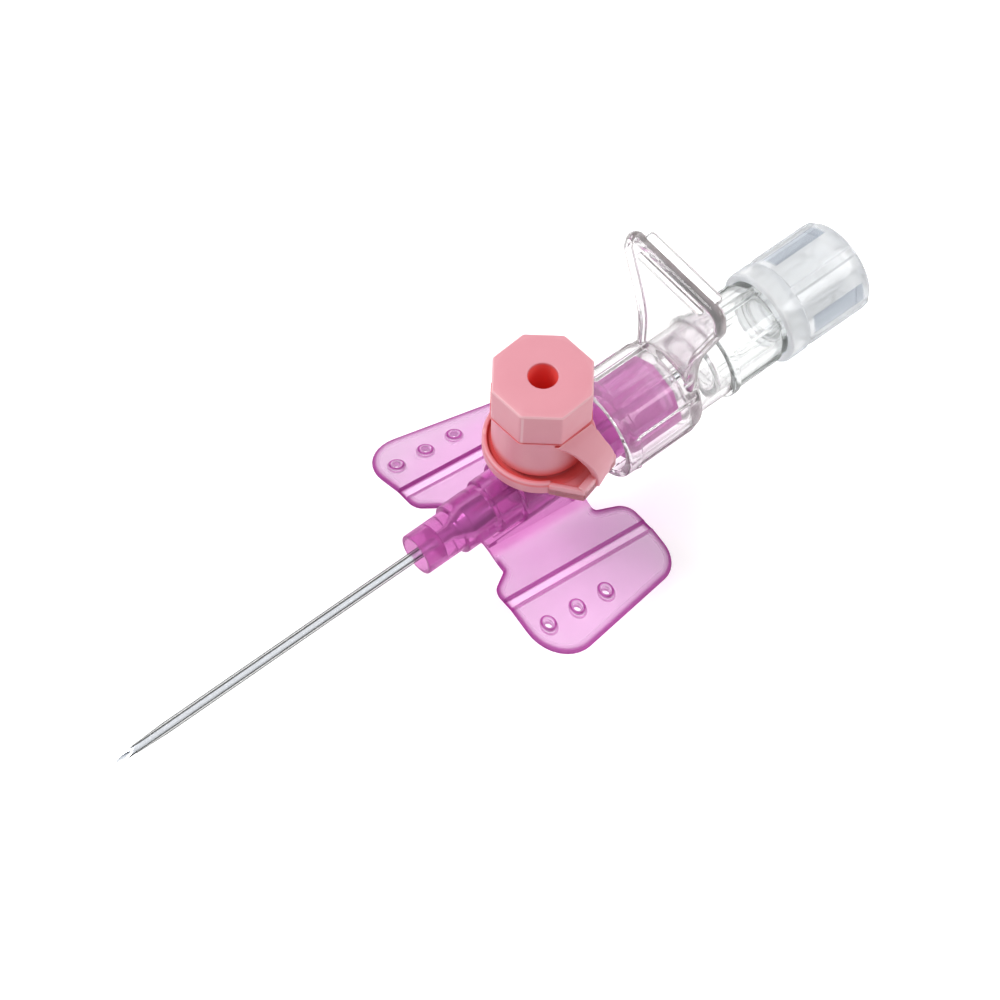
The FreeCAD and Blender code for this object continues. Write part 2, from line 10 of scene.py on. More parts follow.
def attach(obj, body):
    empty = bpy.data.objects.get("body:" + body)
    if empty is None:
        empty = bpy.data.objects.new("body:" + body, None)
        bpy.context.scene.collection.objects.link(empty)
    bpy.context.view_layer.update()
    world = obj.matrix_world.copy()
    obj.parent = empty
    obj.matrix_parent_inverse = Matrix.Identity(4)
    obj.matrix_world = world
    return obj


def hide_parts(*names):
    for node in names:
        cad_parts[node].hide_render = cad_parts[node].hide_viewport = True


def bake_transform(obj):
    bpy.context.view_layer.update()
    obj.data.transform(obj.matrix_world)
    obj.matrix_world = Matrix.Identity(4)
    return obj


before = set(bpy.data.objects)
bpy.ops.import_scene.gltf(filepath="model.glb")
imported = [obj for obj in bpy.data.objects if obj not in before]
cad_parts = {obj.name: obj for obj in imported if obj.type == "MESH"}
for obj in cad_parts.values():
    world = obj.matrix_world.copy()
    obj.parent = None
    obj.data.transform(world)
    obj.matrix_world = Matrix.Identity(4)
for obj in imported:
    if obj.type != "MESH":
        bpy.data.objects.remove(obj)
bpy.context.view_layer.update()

MM = 0.001
scene = bpy.context.scene
scene.view_settings.view_transform = "Standard"
scene.cycles.max_bounces = 24
scene.cycles.transmission_bounces = 24
scene.cycles.glossy_bounces = 8
scene.cycles.transparent_max_bounces = 16

# Camera, from the photograph's viewing direction. Distances are in millimetres.
camera_azimuth = -131.455
camera_elevation = 57.666
camera_roll = 2.104
camera_distance = 310.43
camera_lens = 116.48
aim_point = (10.17, -0.23, -0.04)

# Sizes shared with the part's source, in millimetres
nose_radius = 2.15
nose_length = 4.4
nose_recess_radius = 1.75
nose_recess_depth = 2.4
wedge_start = 3.9
wedge_body_start = 5.9
wedge_end = 8.5
wedge_seat_radius = 1.3
first_step_radius = 2.6
first_step_end = 8.5
second_step_radius = 2.9
second_step_end = 11.0
barrel_radius = 3.35
collar_corner_radius = 4.25
collar_start = 23.9
hub_end = 29.8
collar_turn = 4.0
channel_radius = 1.6
luer_start = 20.2
luer_mouth_radius = 2.15
luer_base_radius = 1.862
valve_start = 11.8
valve_end = 18.4
valve_seat_radius = 2.11
port_x = 15.1
port_radius = 3.3
port_bore_radius = 2.15
tower_bottom = 0.0
tower_saddle_radius = 2.7
lip_bottom = 5.76
lip_top = 6.21
port_lip_radius = 3.55
port_top_radius = 3.0
port_top = 6.81
wing_thickness = 0.75
wing_pitch = 11.7
wing_height = -3.6
wing_height_at = 5.0
wing_root_half_width = 2.1
wing_root_rise = 1.15
wing_root_blend = 5.4
groove_inner = 7.5
groove_outer = 8.56
groove_depth = 0.43
groove_flank = 0.08
wing_droop = 17.0
# Width of the painted shade along the wings' borders
rim_shade_width = 0.6
eyelet_y = 11.6
eyelet_places = (6.9, 10.55, 14.2)
eyelet_radius = 0.4
cap_across_flats = 9.43
cap_head_bottom = 11.9
head_top = 16.25
cap_turn = 3.7
cap_hole_radius = 1.43
cap_hole_bottom = 11.05
stem_radius = 4.65
stem_bottom = 6.27
cavity_radius = 3.7
cavity_top = 7.21
plug_radius = 1.82
plug_tip_radius = 1.66
plug_bottom = 4.91
ring_bottom = 4.5
ring_top = 6.15
ring_outer_radius = 5.5
ring_bore = 3.36
ring_rim_width = 0.5
ring_dish = 0.45
ring_opening_start = 38.0
ring_opening_end = 44.0
tab_start = 3.9
tab_half_width = 4.0
strap_angle = -76.0
strap_width = 4.7
strap_thickness = 0.8
strap_reach = 7.25
skirt_front = 22.4
skirt_radius = 5.1
skirt_inner = 4.45
skirt_lip_radius = 5.3
skirt_lip_end = 23.9
male_luer_start = 20.8
male_luer_tip_radius = 1.85
male_luer_radius = 2.12
disc_front = 30.6
disc_rear = 32.3
boss_radius = 4.35
boss_bore = 3.75
boss_end = 36.5
grip_end = 33.9
grip_radius = 2.15
plate_rear = 32.0
plate_neck_half_width = 4.05
plate_half_width = 6.95
plate_height = 18.7
plate_bar_height = 17.2
chamber_front = 34.6
chamber_front_wall_end = 35.3
chamber_radius = 4.2
chamber_inner_radius = 3.04
chamber_flange_end = 37.4
chamber_flange_radius = 4.75
chamber_end = 44.6
chamber_end_wall = 0.7
tail_bore = 1.95
tail_mouth_radius = 2.15
tail_radius = 3.0
tail_end = 51.2
stopper_start = 43.8
stopper_collar_end = 46.1
stopper_end = 54.6
stopper_radius = 4.95
stopper_inner_radius = 3.3
stopper_end_wall = 1.1
stopper_collar_radius = 5.1
stopper_collar_bore = 4.28
cone_start = 45.2
cone_tip_radius = 1.94
cone_radius = 2.12
vent_radius = 1.1
front_rib_turn = -22.4
# Place and size of the painted reflection bands on the rear cap's wall
reflection_band_place = 51.5
reflection_band_half_angle = 12.5
reflection_band_middle = 50.2
reflection_band_half_length = 3.3
catheter_reach = 33.0
catheter_taper_start = -29.6
catheter_radius = 0.55
catheter_bore = 0.41
catheter_tip_bore = 0.375
needle_radius = 0.355
needle_wall = 0.12
needle_channel = 0.37
needle_reach = 35.6
bevel_length = 2.6
needle_end = 35.5


def linear(red, green, blue):
    """Linear colour from 0-255 screen values."""
    values = []
    for c in (red, green, blue):
        c = c / 255
        values.append(c / 12.92 if c <= 0.04045 else ((c + 0.055) / 1.055) ** 2.4)
    return tuple(values)


# Mesh helpers, all in millimetres
def soften(corners, steps=4, closed=True):
    """Points along an outline of (a, b) or (a, b, radius) corners, with arcs where a radius is given."""
    points = []
    count = len(corners)
    for i, corner in enumerate(corners):
        a, b = corner[0], corner[1]
        radius = corner[2] if len(corner) > 2 else 0.0
        inner = closed or 0 < i < count - 1
        if radius <= 0 or not inner:
            points.append((a, b))
            continue
        here = np.array((a, b), float)
        before = np.array(corners[i - 1][:2]) - here
        after = np.array(corners[(i + 1) % count][:2]) - here
        before /= np.linalg.norm(before)
        after /= np.linalg.norm(after)
        half = math.acos(max(-1.0, min(1.0, float(before @ after)))) / 2
        cut = radius / math.tan(half)
        middle = before + after
        middle /= np.linalg.norm(middle)
        centre = here + middle * radius / math.sin(half)
        start = here + before * cut - centre
        finish = here + after * cut - centre
        turn = math.atan2(start[0] * finish[1] - start[1] * finish[0], float(start @ finish))
        for k in range(steps + 1):
            angle = turn * k / steps
            c, s = math.cos(angle), math.sin(angle)
            x, y = centre[0] + start[0] * c - start[1] * s, centre[1] + start[0] * s + start[1] * c
            points.append((x, y))
    return points


def divided(points, longest, closed=True):
    """The same outline with long runs divided."""
    made = []
    count = len(points)
    for i, point in enumerate(points):
        made.append(point)
        if i == count - 1 and not closed:
            break
        following = points[(i + 1) % count]
        pieces = int(math.dist(point[:2], following[:2]) / longest)
        for k in range(1, pieces + 1):
            share = k / (pieces + 1)
            made.append(tuple(p + (q - p) * share for p, q in zip(point, following)))
    return made


def angles_with(count, marks, spread):
    """Even angles plus extra ones close to each mark, in radians."""
    found = [2 * math.pi * i / count for i in range(count)]
    for mark in marks:
        found += [(mark + d) % (2 * math.pi) for d in spread]
    found.sort()
    kept = [found[0]]
    for angle in found[1:]:
        if angle - kept[-1] > 1e-3:
            kept.append(angle)
    return kept


def make_object(name, points, faces, material, sharp=35.0):
    """A closed mesh from points in millimetres, every face looking out."""
    mesh = bpy.data.meshes.new(name)
    mesh.from_pydata([tuple(c * MM for c in p) for p in points], [], faces)
    mesh.update()
    thing = bpy.data.objects.new(name, mesh)
    scene.collection.objects.link(thing)
    mesh.materials.append(material)
    finish_shading(thing, sharp)
    work = bmesh.new()
    work.from_mesh(mesh)
    bmesh.ops.recalc_face_normals(work, faces=work.faces)
    work.to_mesh(mesh)
    work.free()
    return thing


def finish_shading(thing, sharp=35.0):
    mesh = thing.data
    mesh.polygons.foreach_set("use_smooth", [True] * len(mesh.polygons))
    mesh.set_sharp_from_angle(angle=math.radians(sharp))


def turned_object(name, profile, angles, place, material, radius_at=None, sharp=35.0):
    """A closed mesh turned from a loop of (along, radius); radius_at can change each radius."""
    points, faces, rings = [], [], []
    for along, radius in profile:
        if radius < 1e-6:
            rings.append([len(points)])
            points.append(place(along, 0.0, 0.0))
            continue
        ring = []
        for angle in angles:
            r = radius if radius_at is None else radius_at(along, radius, angle)
            ring.append(len(points))
            points.append(place(along, r, angle))
        rings.append(ring)
    around = len(angles)
    for first, second in zip(rings, rings[1:] + rings[:1]):
        if len(first) == 1 and len(second) == 1:
            continue
        for k in range(around):
            n = (k + 1) % around
            if len(first) == 1:
                faces.append((first[0], second[n], second[k]))
            elif len(second) == 1:
                faces.append((first[k], first[n], second[0]))
            else:
                faces.append((first[k], first[n], second[n], second[k]))
    return make_object(name, points, faces, material, sharp)


def along_x(along, r, angle):
    return (along, r * math.sin(angle), r * math.cos(angle))


def up_z(along, r, angle):
    return (port_x + r * math.cos(angle), r * math.sin(angle), along)


def smooth_step(value, low, high):
    t = max(0.0, min(1.0, (value - low) / (high - low)))
    return t * t * (3 - 2 * t)


def rib_height(along, angle, radius, ribs):
    """Height of straight ribs at a place on a turned surface."""
    start, end, ramp = ribs["start"], ribs["end"], 0.35
    rise = smooth_step(along, start, start + ramp) * smooth_step(-along, -end, -end + ramp)
    if rise <= 0:
        return 0.0
    step = 2 * math.pi / ribs["count"]
    away = (angle - math.radians(ribs["turn"]) + step / 2) % step - step / 2
    distance = abs(away) * radius
    half, flank = ribs["width"] / 2, ribs["flank"]
    return ribs["height"] * rise * smooth_step(-distance, -half - flank, -half + flank)


def ribbed(ribs, above, below=math.inf):
    """Radii of a turned surface, with ribs where the radius lies between two values."""

    def radius_at(along, radius, angle):
        on_wall = above < radius < below
        return radius + rib_height(along, angle, radius, ribs) if on_wall else radius

    return radius_at


def rib_angles(ribs, radius):
    """Angles for a turned surface, closer together at each rib's edges."""
    marks = [math.radians(ribs["turn"]) + 2 * math.pi * i / ribs["count"] for i in range(ribs["count"])]
    edge, flank = ribs["width"] / 2, ribs["flank"]
    offsets = [0.0, edge - flank, edge - flank / 2, edge, edge + flank / 2, edge + flank, edge + 2 * flank]
    return angles_with(128, marks, sorted({s * o / radius for o in offsets for s in (-1, 1)}))


def walls_between(rows, flip=False):
    """Four-sided faces between neighbouring closed rows of point numbers."""
    faces = []
    for first, second in zip(rows[:-1], rows[1:]):
        for k in range(len(first)):
            n = (k + 1) % len(first)
            quad = (first[k], first[n], second[n], second[k])
            faces.append(quad[::-1] if flip else quad)
    return faces


def clockwise(outline):
    """The outline, turned round if it runs the other way."""
    area = sum(a[0] * b[1] - b[0] * a[1] for a, b in zip(outline, outline[1:] + outline[:1]))
    return outline[::-1] if area > 0 else outline


def joined(name, base, others, operation="UNION"):
    """One closed mesh from several, by exact union or difference."""
    for other in others:
        step = base.modifiers.new("join", "BOOLEAN")
        step.operation = operation
        step.solver = "EXACT"
        step.use_self = True
        step.object = other
    graph = bpy.context.evaluated_depsgraph_get()
    mesh = bpy.data.meshes.new_from_object(base.evaluated_get(graph))
    material = base.data.materials[0]
    for other in others:
        bpy.data.objects.remove(other)
    bpy.data.objects.remove(base)
    thing = bpy.data.objects.new(name, mesh)
    scene.collection.objects.link(thing)
    mesh.materials.clear()
    mesh.materials.append(material)
    finish_shading(thing)
    return thing


# Materials
fine_grain = 900.0


def shader(name):
    material = bpy.data.materials.new(name)
    material.use_nodes = True
    tree = material.node_tree
    tree.nodes.clear()
    output = tree.nodes.new("ShaderNodeOutputMaterial")
    return material, tree, output


def add_node(tree, kind, inputs, **settings):
    """A shader node. Each input takes another node's output, a number or a colour."""
    node = tree.nodes.new("ShaderNode" + kind)
    for name, value in settings.items():
        setattr(node, name, value)
    for place, value in inputs.items():
        if isinstance(value, bpy.types.NodeSocket):
            tree.links.new(value, node.inputs[place])
        elif isinstance(value, tuple):
            node.inputs[place].default_value = (*value, 1)
        else:
            node.inputs[place].default_value = value
    return node


def add_noise(tree, scale):
    place = add_node(tree, "TexCoord", {}).outputs["Object"]
    return add_node(tree, "TexNoise", {"Vector": place, "Scale": scale, "Detail": 3.0}).outputs["Fac"]


def add_range(tree, noise, low, high):
    """Spreads the middle of a noise over a range of values."""
    inputs = {"Value": noise, "From Min": 0.3, "From Max": 0.7, "To Min": low, "To Max": high}
    return add_node(tree, "MapRange", inputs).outputs["Result"]


def add_bump(tree, noise, strength, distance):
    inputs = {"Height": noise, "Strength": strength, "Distance": distance}
    return add_node(tree, "Bump", inputs).outputs["Normal"]


def calculate(tree, operation, *sources):
    """A maths node on outputs or plain numbers."""
    return add_node(tree, "Math", dict(enumerate(sources)), operation=operation).outputs[0]


def product(tree, first, *others):
    for other in others:
        first = calculate(tree, "MULTIPLY", first, other)
    return first


def inverse(tree, source):
    return calculate(tree, "SUBTRACT", 1.0, source)


def length_of(tree, first, second):
    """The length of a flat arrow with these two parts."""
    squares = calculate(tree, "ADD", product(tree, first, first), product(tree, second, second))
    return calculate(tree, "SQRT", squares)


def step_between(tree, source, low, high):
    """0 below the low value, 1 above the high one, eased between."""
    inputs = {"Value": source, "From Min": low, "From Max": high}
    return add_node(tree, "MapRange", inputs, interpolation_type="SMOOTHSTEP").outputs["Result"]


def band(tree, source, centre, half_width, blur=0.05):
    """1 where the value lies within a band."""
    away = calculate(tree, "ABSOLUTE", calculate(tree, "SUBTRACT", source, centre))
    return inverse(tree, step_between(tree, away, half_width - blur, half_width + blur))


def blend_colours(tree, factor, first, second):
    """Mixes two colours, each an output or a plain colour."""
    return add_node(tree, "Mix", {"Factor": factor, 6: first, 7: second}, data_type="RGBA").outputs[2]


def mix_shaders(tree, factor, first, second):
    return add_node(tree, "MixShader", {0: factor, 1: first, 2: second}).outputs[0]


def object_axes(tree):
    """The place on the object in millimetres, as three outputs."""
    place = add_node(tree, "TexCoord", {}).outputs["Object"]
    scaled = add_node(tree, "VectorMath", {0: place, "Scale": 1 / MM}, operation="SCALE")
    split = add_node(tree, "SeparateXYZ", {0: scaled.outputs[0]})
    return split.outputs["X"], split.outputs["Y"], split.outputs["Z"]


def painted_edge_share(tree, low, high):
    """0 where a surface faces the eye, 1 where it turns away; this places painted edge shade."""
    weight = add_node(tree, "LayerWeight", {"Blend": 0.5})
    return step_between(tree, weight.outputs["Facing"], low, high)


def lets_light_through(tree, surface, colour):
    """The same surface, but lamps shine through it onto what lies behind."""
    shadow_ray = add_node(tree, "LightPath", {}).outputs["Is Shadow Ray"]
    open_way = add_node(tree, "BsdfTransparent", {"Color": colour})
    return mix_shaders(tree, shadow_ray, surface, open_way.outputs[0])


def clear_plastic(name, tint, outline, haze, roughness, depth_colour, depth_density, ior):
    """See-through plastic: a clear shell with a little haze, grey outlines painted as shade where edges
    turn away, and colour with depth.
    """
    material, tree, output = shader(name)
    colour = tint
    if name == "frosted_plastic":
        # Painted reflection: blue-grey bands on the rear cap's wall.
        colour = blend_colours(tree, painted_reflection_bands(tree), tint, linear(166, 175, 187))
    noise = add_noise(tree, fine_grain)
    inputs = {
        "Base Color": colour,
        "Transmission Weight": 1.0 - haze,
        "IOR": ior,
        "Roughness": add_range(tree, noise, roughness, roughness + 0.05),
        "Normal": add_bump(tree, noise, 0.06, 0.00004),
    }
    surface = add_node(tree, "BsdfPrincipled", inputs)
    # Painted shade: a grey diffuse colour mixed in where the surface turns from the eye, standing in for
    # darker surroundings seen in the edges.
    low, high, strength, grey = outline
    plain = add_node(tree, "BsdfDiffuse", {"Color": grey})
    share = product(tree, painted_edge_share(tree, low, high), strength)
    result = mix_shaders(tree, share, surface.outputs[0], plain.outputs[0])
    result = lets_light_through(tree, result, (0.96, 0.96, 0.96))
    volume = add_node(tree, "VolumeAbsorption", {"Color": depth_colour, "Density": depth_density})
    tree.links.new(result, output.inputs["Surface"])
    tree.links.new(volume.outputs[0], output.inputs["Volume"])
    return material


def painted_reflection_bands(tree):
    """Two painted grey reflection bands on the rear cap's wall, either side of its front rib, standing in
    for light bent in the wall.
    """
    x, y, z = object_axes(tree)
    outer = band(tree, length_of(tree, z, y), stopper_radius, 0.06, 0.02)
    turn = calculate(tree, "SUBTRACT", calculate(tree, "ARCTAN2", y, z), math.radians(front_rib_turn))
    away = calculate(tree, "PINGPONG", turn, math.pi)
    beside = band(tree, away, math.radians(reflection_band_place), math.radians(reflection_band_half_angle), 0.02)
    return product(tree, outer, beside, band(tree, x, reflection_band_middle, reflection_band_half_length, 0.25))


def opaque_plastic(name, colour, roughness):
    """Plain material with a fine grain."""
    material, tree, output = shader(name)
    noise = add_noise(tree, 700.0)
    inputs = {
        "Base Color": colour,
        "Roughness": add_range(tree, noise, roughness - 0.05, roughness + 0.08),
        "Normal": add_bump(tree, noise, 0.08, 0.00005),
    }
    surface = add_node(tree, "BsdfPrincipled", inputs)
    tree.links.new(surface.outputs[0], output.inputs["Surface"])
    return material


def wing_painted_light_marks(tree):
    """Where the wings are, the painted shade of their darker lines, rims and eyelet rings, and the painted
    highlight of the paler groove between the lines.
    """
    x, y, z = object_axes(tree)
    across = calculate(tree, "ABSOLUTE", y)
    low = inverse(tree, step_between(tree, z, -2.4, -1.4))
    wing = product(tree, step_between(tree, across, 2.6, 3.6), low)
    # The rim attribute carries the painted shade along the wings' borders.
    painted_dark = add_node(tree, "Attribute", {}, attribute_name="rim").outputs["Fac"]
    for groove_edge in (groove_inner, groove_outer):
        painted_dark = calculate(tree, "MAXIMUM", painted_dark, band(tree, across, groove_edge, 0.14))
    for place in eyelet_places:
        dx = calculate(tree, "SUBTRACT", x, place)
        dy = calculate(tree, "SUBTRACT", across, eyelet_y)
        ring = band(tree, length_of(tree, dx, dy), 0.70, 0.12, 0.08)
        painted_dark = calculate(tree, "MAXIMUM", painted_dark, ring)
    painted_groove_highlight = band(tree, across, (groove_inner + groove_outer) / 2, 0.36)
    return wing, product(tree, painted_dark, wing), product(tree, painted_groove_highlight, wing)


def pink_plastic():
    """Magenta moulding: deep in the body, paler and milky in the wings, with painted shade making rims,
    groove lines and eyelet rings darker and a painted highlight between the groove lines.
    """
    material, tree, output = shader("pink_plastic")
    wing, painted_dark, painted_groove_highlight = wing_painted_light_marks(tree)
    noise = add_noise(tree, 260.0)

    # groove is the painted highlight colour between the groove lines; edge is the painted shade colour of
    # rims, groove lines and eyelet rings.
    def coloured(body_first, body_second, wing_first, wing_second, groove, edge):
        plate = blend_colours(tree, noise, wing_first, wing_second)
        plate = blend_colours(tree, painted_groove_highlight, plate, groove)
        plate = blend_colours(tree, painted_dark, plate, edge)
        body = blend_colours(tree, noise, body_first, body_second)
        return blend_colours(tree, wing, body, plate)

    colour = coloured(
        linear(246, 200, 234),
        linear(240, 192, 230),
        linear(244, 232, 242),
        linear(240, 226, 238),
        linear(253, 242, 252),
        linear(226, 150, 214),
    )
    milk = coloured(
        linear(206, 112, 188),
        linear(196, 102, 180),
        linear(222, 194, 219),
        linear(214, 183, 211),
        linear(250, 226, 248),
        linear(170, 66, 152),
    )
    fine = add_noise(tree, fine_grain)
    inputs = {
        "Base Color": colour,
        "Transmission Weight": 1.0,
        "IOR": 1.36,
        "Roughness": add_range(tree, fine, 0.16, 0.22),
        "Normal": add_bump(tree, fine, 0.06, 0.00004),
    }
    surface = add_node(tree, "BsdfPrincipled", inputs)
    diffuse = add_node(tree, "BsdfDiffuse", {"Color": milk})
    through = add_node(tree, "BsdfTranslucent", {"Color": milk})
    milky = mix_shaders(tree, 0.35, diffuse.outputs[0], through.outputs[0])
    # The painted shade marks are milkier as well.
    haze = calculate(tree, "ADD", 0.32, product(tree, painted_dark, 0.40))
    result = mix_shaders(tree, haze, surface.outputs[0], milky)
    result = lets_light_through(tree, result, (0.96, 0.80, 0.94))
    volume = add_node(tree, "VolumeAbsorption", {"Color": (0.80, 0.34, 0.74), "Density": 230.0})
    tree.links.new(result, output.inputs["Surface"])
    tree.links.new(volume.outputs[0], output.inputs["Volume"])
    return material


def painted_dish_shade_share(tree, radius, z):
    """Where red painted shade goes: 1 in the dish of the strap's ring, 0 on its rim, its outside and under
    the cap.
    """
    low = inverse(tree, step_between(tree, z, ring_top - 0.1, ring_top + 1.7))
    within = inverse(tree, step_between(tree, radius, 5.0, 6.2))
    around_stem = step_between(tree, radius, stem_radius - 0.35, stem_radius - 0.05)
    on_rim = product(tree, band(tree, z, ring_top, 0.16), step_between(tree, radius, 4.85, 4.95))
    outside = step_between(tree, radius, ring_outer_radius - 0.03, ring_outer_radius)
    dish = ring_top - ring_dish
    below = inverse(tree, step_between(tree, z, dish - 0.1, dish))
    beside = inverse(tree, product(tree, outside, below))
    return product(tree, low, within, around_stem, inverse(tree, on_rim), beside)


def salmon_plastic():
    """Salmon moulding with painted light and shade: red painted shade in the ring's dish and beneath the
    head, red painted light inside the hole, and paler painted highlights on the edges.
    """
    material, tree, output = shader("cap_plastic")
    x, y, z = object_axes(tree)
    radius = length_of(tree, calculate(tree, "SUBTRACT", x, port_x), y)
    # Painted light: the inside of the hole turns bright red, standing in for light scattered through the
    # cap's wall.
    painted_hole_light = inverse(tree, step_between(tree, radius, cap_hole_radius - 0.02, cap_hole_radius + 0.1))
    below_top = inverse(tree, step_between(tree, z, head_top - 0.5, head_top - 0.02))
    # Painted shade: crevices, such as beneath the head, turn redder where the occlusion finds them.
    occlusion = add_node(tree, "AmbientOcclusion", {"Distance": 3.0 * MM}, samples=8)
    painted_crevice_shade = inverse(tree, step_between(tree, occlusion.outputs["AO"], 0.25, 0.95))
    # Painted highlight: convex edges below the top face and a band along the top's bevelled edge turn
    # paler.
    shape = add_node(tree, "NewGeometry", {})
    edges = product(tree, step_between(tree, shape.outputs["Pointiness"], 0.52, 0.60), 0.6, below_top)
    painted_chamfer_highlight = product(tree, band(tree, z, head_top - 0.13, 0.10), 0.6)
    painted_chamfer_highlight = product(tree, painted_chamfer_highlight, step_between(tree, radius, 4.3, 4.5))
    edges = calculate(tree, "MAXIMUM", edges, painted_chamfer_highlight)
    # Painted shade: the ring's dish and the foot of the stem turn red.
    dish = painted_dish_shade_share(tree, radius, z)
    colour = blend_colours(tree, add_noise(tree, 320.0), linear(232, 158, 170), linear(228, 150, 163))
    colour = blend_colours(tree, edges, colour, linear(250, 204, 210))
    colour = blend_colours(tree, product(tree, painted_crevice_shade, 0.85), colour, linear(234, 104, 106))
    colour = blend_colours(tree, product(tree, dish, 0.85), colour, linear(236, 84, 82))
    colour = blend_colours(tree, product(tree, painted_hole_light, below_top), colour, linear(255, 104, 98))
    fine = add_noise(tree, 700.0)
    inputs = {
        "Base Color": colour,
        "Roughness": add_range(tree, fine, 0.33, 0.45),
        "Normal": add_bump(tree, fine, 0.08, 0.00005),
    }
    surface = add_node(tree, "BsdfPrincipled", inputs)
    tree.links.new(surface.outputs[0], output.inputs["Surface"])
    return material


def metal(name, colour, edge, roughness):
    """Drawn metal whose gloss darkens where it turns away: painted reflection of darker surroundings."""
    material, tree, output = shader(name)
    spread = add_range(tree, add_noise(tree, 1500.0), roughness, roughness + 0.08)
    bright = add_node(tree, "BsdfPrincipled", {"Base Color": colour, "Metallic": 1.0, "Roughness": spread})
    painted_dark = add_node(tree, "BsdfAnisotropic", {"Color": edge, "Roughness": spread})
    result = mix_shaders(tree, painted_edge_share(tree, 0.17, 0.35), bright.outputs[0], painted_dark.outputs[0])
    tree.links.new(result, output.inputs["Surface"])
    return material


pink = pink_plastic()
salmon = salmon_plastic()
# Each outline holds the facing range, share and grey colour of the painted edge shade.
clear = clear_plastic(
    name="clear_plastic",
    tint=(1.0, 1.0, 1.0),
    outline=(0.50, 0.94, 0.62, linear(150, 141, 141)),
    haze=0.03,
    roughness=0.05,
    depth_colour=(0.50, 0.46, 0.47),
    depth_density=60.0,
    ior=1.43,
)
chamber = clear_plastic(
    name="chamber_plastic",
    tint=(1.0, 1.0, 1.0),
    outline=(0.50, 0.92, 0.60, linear(128, 132, 128)),
    haze=0.05,
    roughness=0.05,
    depth_colour=(0.50, 0.54, 0.53),
    depth_density=110.0,
    ior=1.43,
)
tube = clear_plastic(
    name="catheter_plastic",
    tint=(1.0, 1.0, 1.0),
    outline=(0.32, 0.54, 0.62, linear(62, 66, 62)),
    haze=0.02,
    roughness=0.03,
    depth_colour=(0.5, 0.52, 0.52),
    depth_density=60.0,
    ior=1.33,
)
frosted = clear_plastic(
    name="frosted_plastic",
    tint=linear(241, 242, 243),
    outline=(0.58, 0.94, 0.60, linear(158, 166, 176)),
    haze=0.30,
    roughness=0.08,
    depth_colour=(0.66, 0.69, 0.72),
    depth_density=36.0,
    ior=1.45,
)
# The second colour is the painted reflection of darker surroundings at the needle's edges.
steel = metal("steel", linear(226, 230, 236), linear(50, 54, 52), 0.14)
porous = opaque_plastic("filter_material", (0.82, 0.82, 0.80), 0.8)
silicone = opaque_plastic("silicone", linear(232, 214, 228), 0.5)


# Catheter hub: turned body, port tower, wings and keel, joined into one moulding
def wing_level(x):
    return wing_height - math.tan(math.radians(wing_pitch)) * (x - wing_height_at)


def wing_section(y):
    """Height of the wing's upper face above its level, across the wing."""
    y = abs(y)
    if y < wing_root_blend:
        t = min(1.0, max(0.0, (wing_root_blend - y) / (wing_root_blend - wing_root_half_width)))
        return wing_root_rise * t * t
    return -math.tan(math.radians(wing_droop)) * max(0.0, y - groove_outer)


def groove_drop(y):
    places = [side + way * groove_flank for side in (groove_inner, groove_outer) for way in (-1, 1)]
    return float(np.interp(abs(y), places, [0, groove_depth, groove_depth, 0]))


# One wing's corners with their rounding, and its mirror image
left_wing = [
    (7.0, 4.7, 0.4),
    (4.7, 6.1, 1.6),
    (4.5, 15.95, 4.0),
    (22.95, 12.9, 2.9),
    (22.85, 4.9, 1.8),
    (19.35, 3.85, 0.5),
]
wing_corners = left_wing + [(x, -y, radius) for x, y, radius in left_wing[::-1]]
# Rounding of the wings' rims: how far in from the edge, and the share of the half thickness there
wing_rim = [(0.0, 0.0), (0.03, 0.35), (0.09, 0.62), (0.18, 0.83), (0.30, 0.96), (0.45, 1.0), (0.8, 1.0)]
# Raised rings of an eyelet: radius and lift
eyelet_boss = [(eyelet_radius, 0.04), (0.46, 0.16), (0.56, 0.24)]
eyelet_boss += [(0.68, 0.25), (0.78, 0.18), (0.88, 0.05), (1.0, 0.0)]
eyelet_centres = [(x, side * eyelet_y) for x in eyelet_places for side in (-1, 1)]
eyelet_points = 28


def crossing_points(outline, levels):
    """Adds points where the outline crosses each given y."""
    made = []
    for i, point in enumerate(outline):
        following = outline[(i + 1) % len(outline)]
        made.append(point)
        hits = []
        for level in levels:
            if (point[1] - level) * (following[1] - level) < -1e-9:
                share = (level - point[1]) / (following[1] - point[1])
                if 0.02 < share < 0.98:
                    hits.append((share, (point[0] + (following[0] - point[0]) * share, level)))
        made += [p for _, p in sorted(hits)]
    return made


def inset(outline, distance):
    """The outline moved inwards. It runs clockwise seen from above."""
    count = len(outline)
    moved = []
    for i, point in enumerate(outline):
        before, after = np.array(outline[i - 1]), np.array(outline[(i + 1) % count])
        here = np.array(point)
        first, second = here - before, after - here
        first /= np.linalg.norm(first)
        second /= np.linalg.norm(second)
        normal = np.array((first[1] + second[1], -first[0] - second[0]))
        normal /= np.linalg.norm(normal)
        mitre = min(1.6, 1 / max(0.3, float(normal @ np.array((first[1], -first[0])))))
        moved.append(tuple(here + normal * distance * mitre))
    return moved


def inside(points, loop):
    """True for each point inside the loop."""
    points, loop = np.asarray(points), np.asarray(loop)
    found = np.zeros(len(points), bool)
    for a, b in zip(loop, np.roll(loop, -1, axis=0)):
        cross = (a[1] > points[:, 1]) != (b[1] > points[:, 1])
        with np.errstate(divide="ignore", invalid="ignore"):
            reach = (b[0] - a[0]) * (points[:, 1] - a[1]) / (b[1] - a[1]) + a[0]
        found ^= cross & (points[:, 0] < reach)
    return found


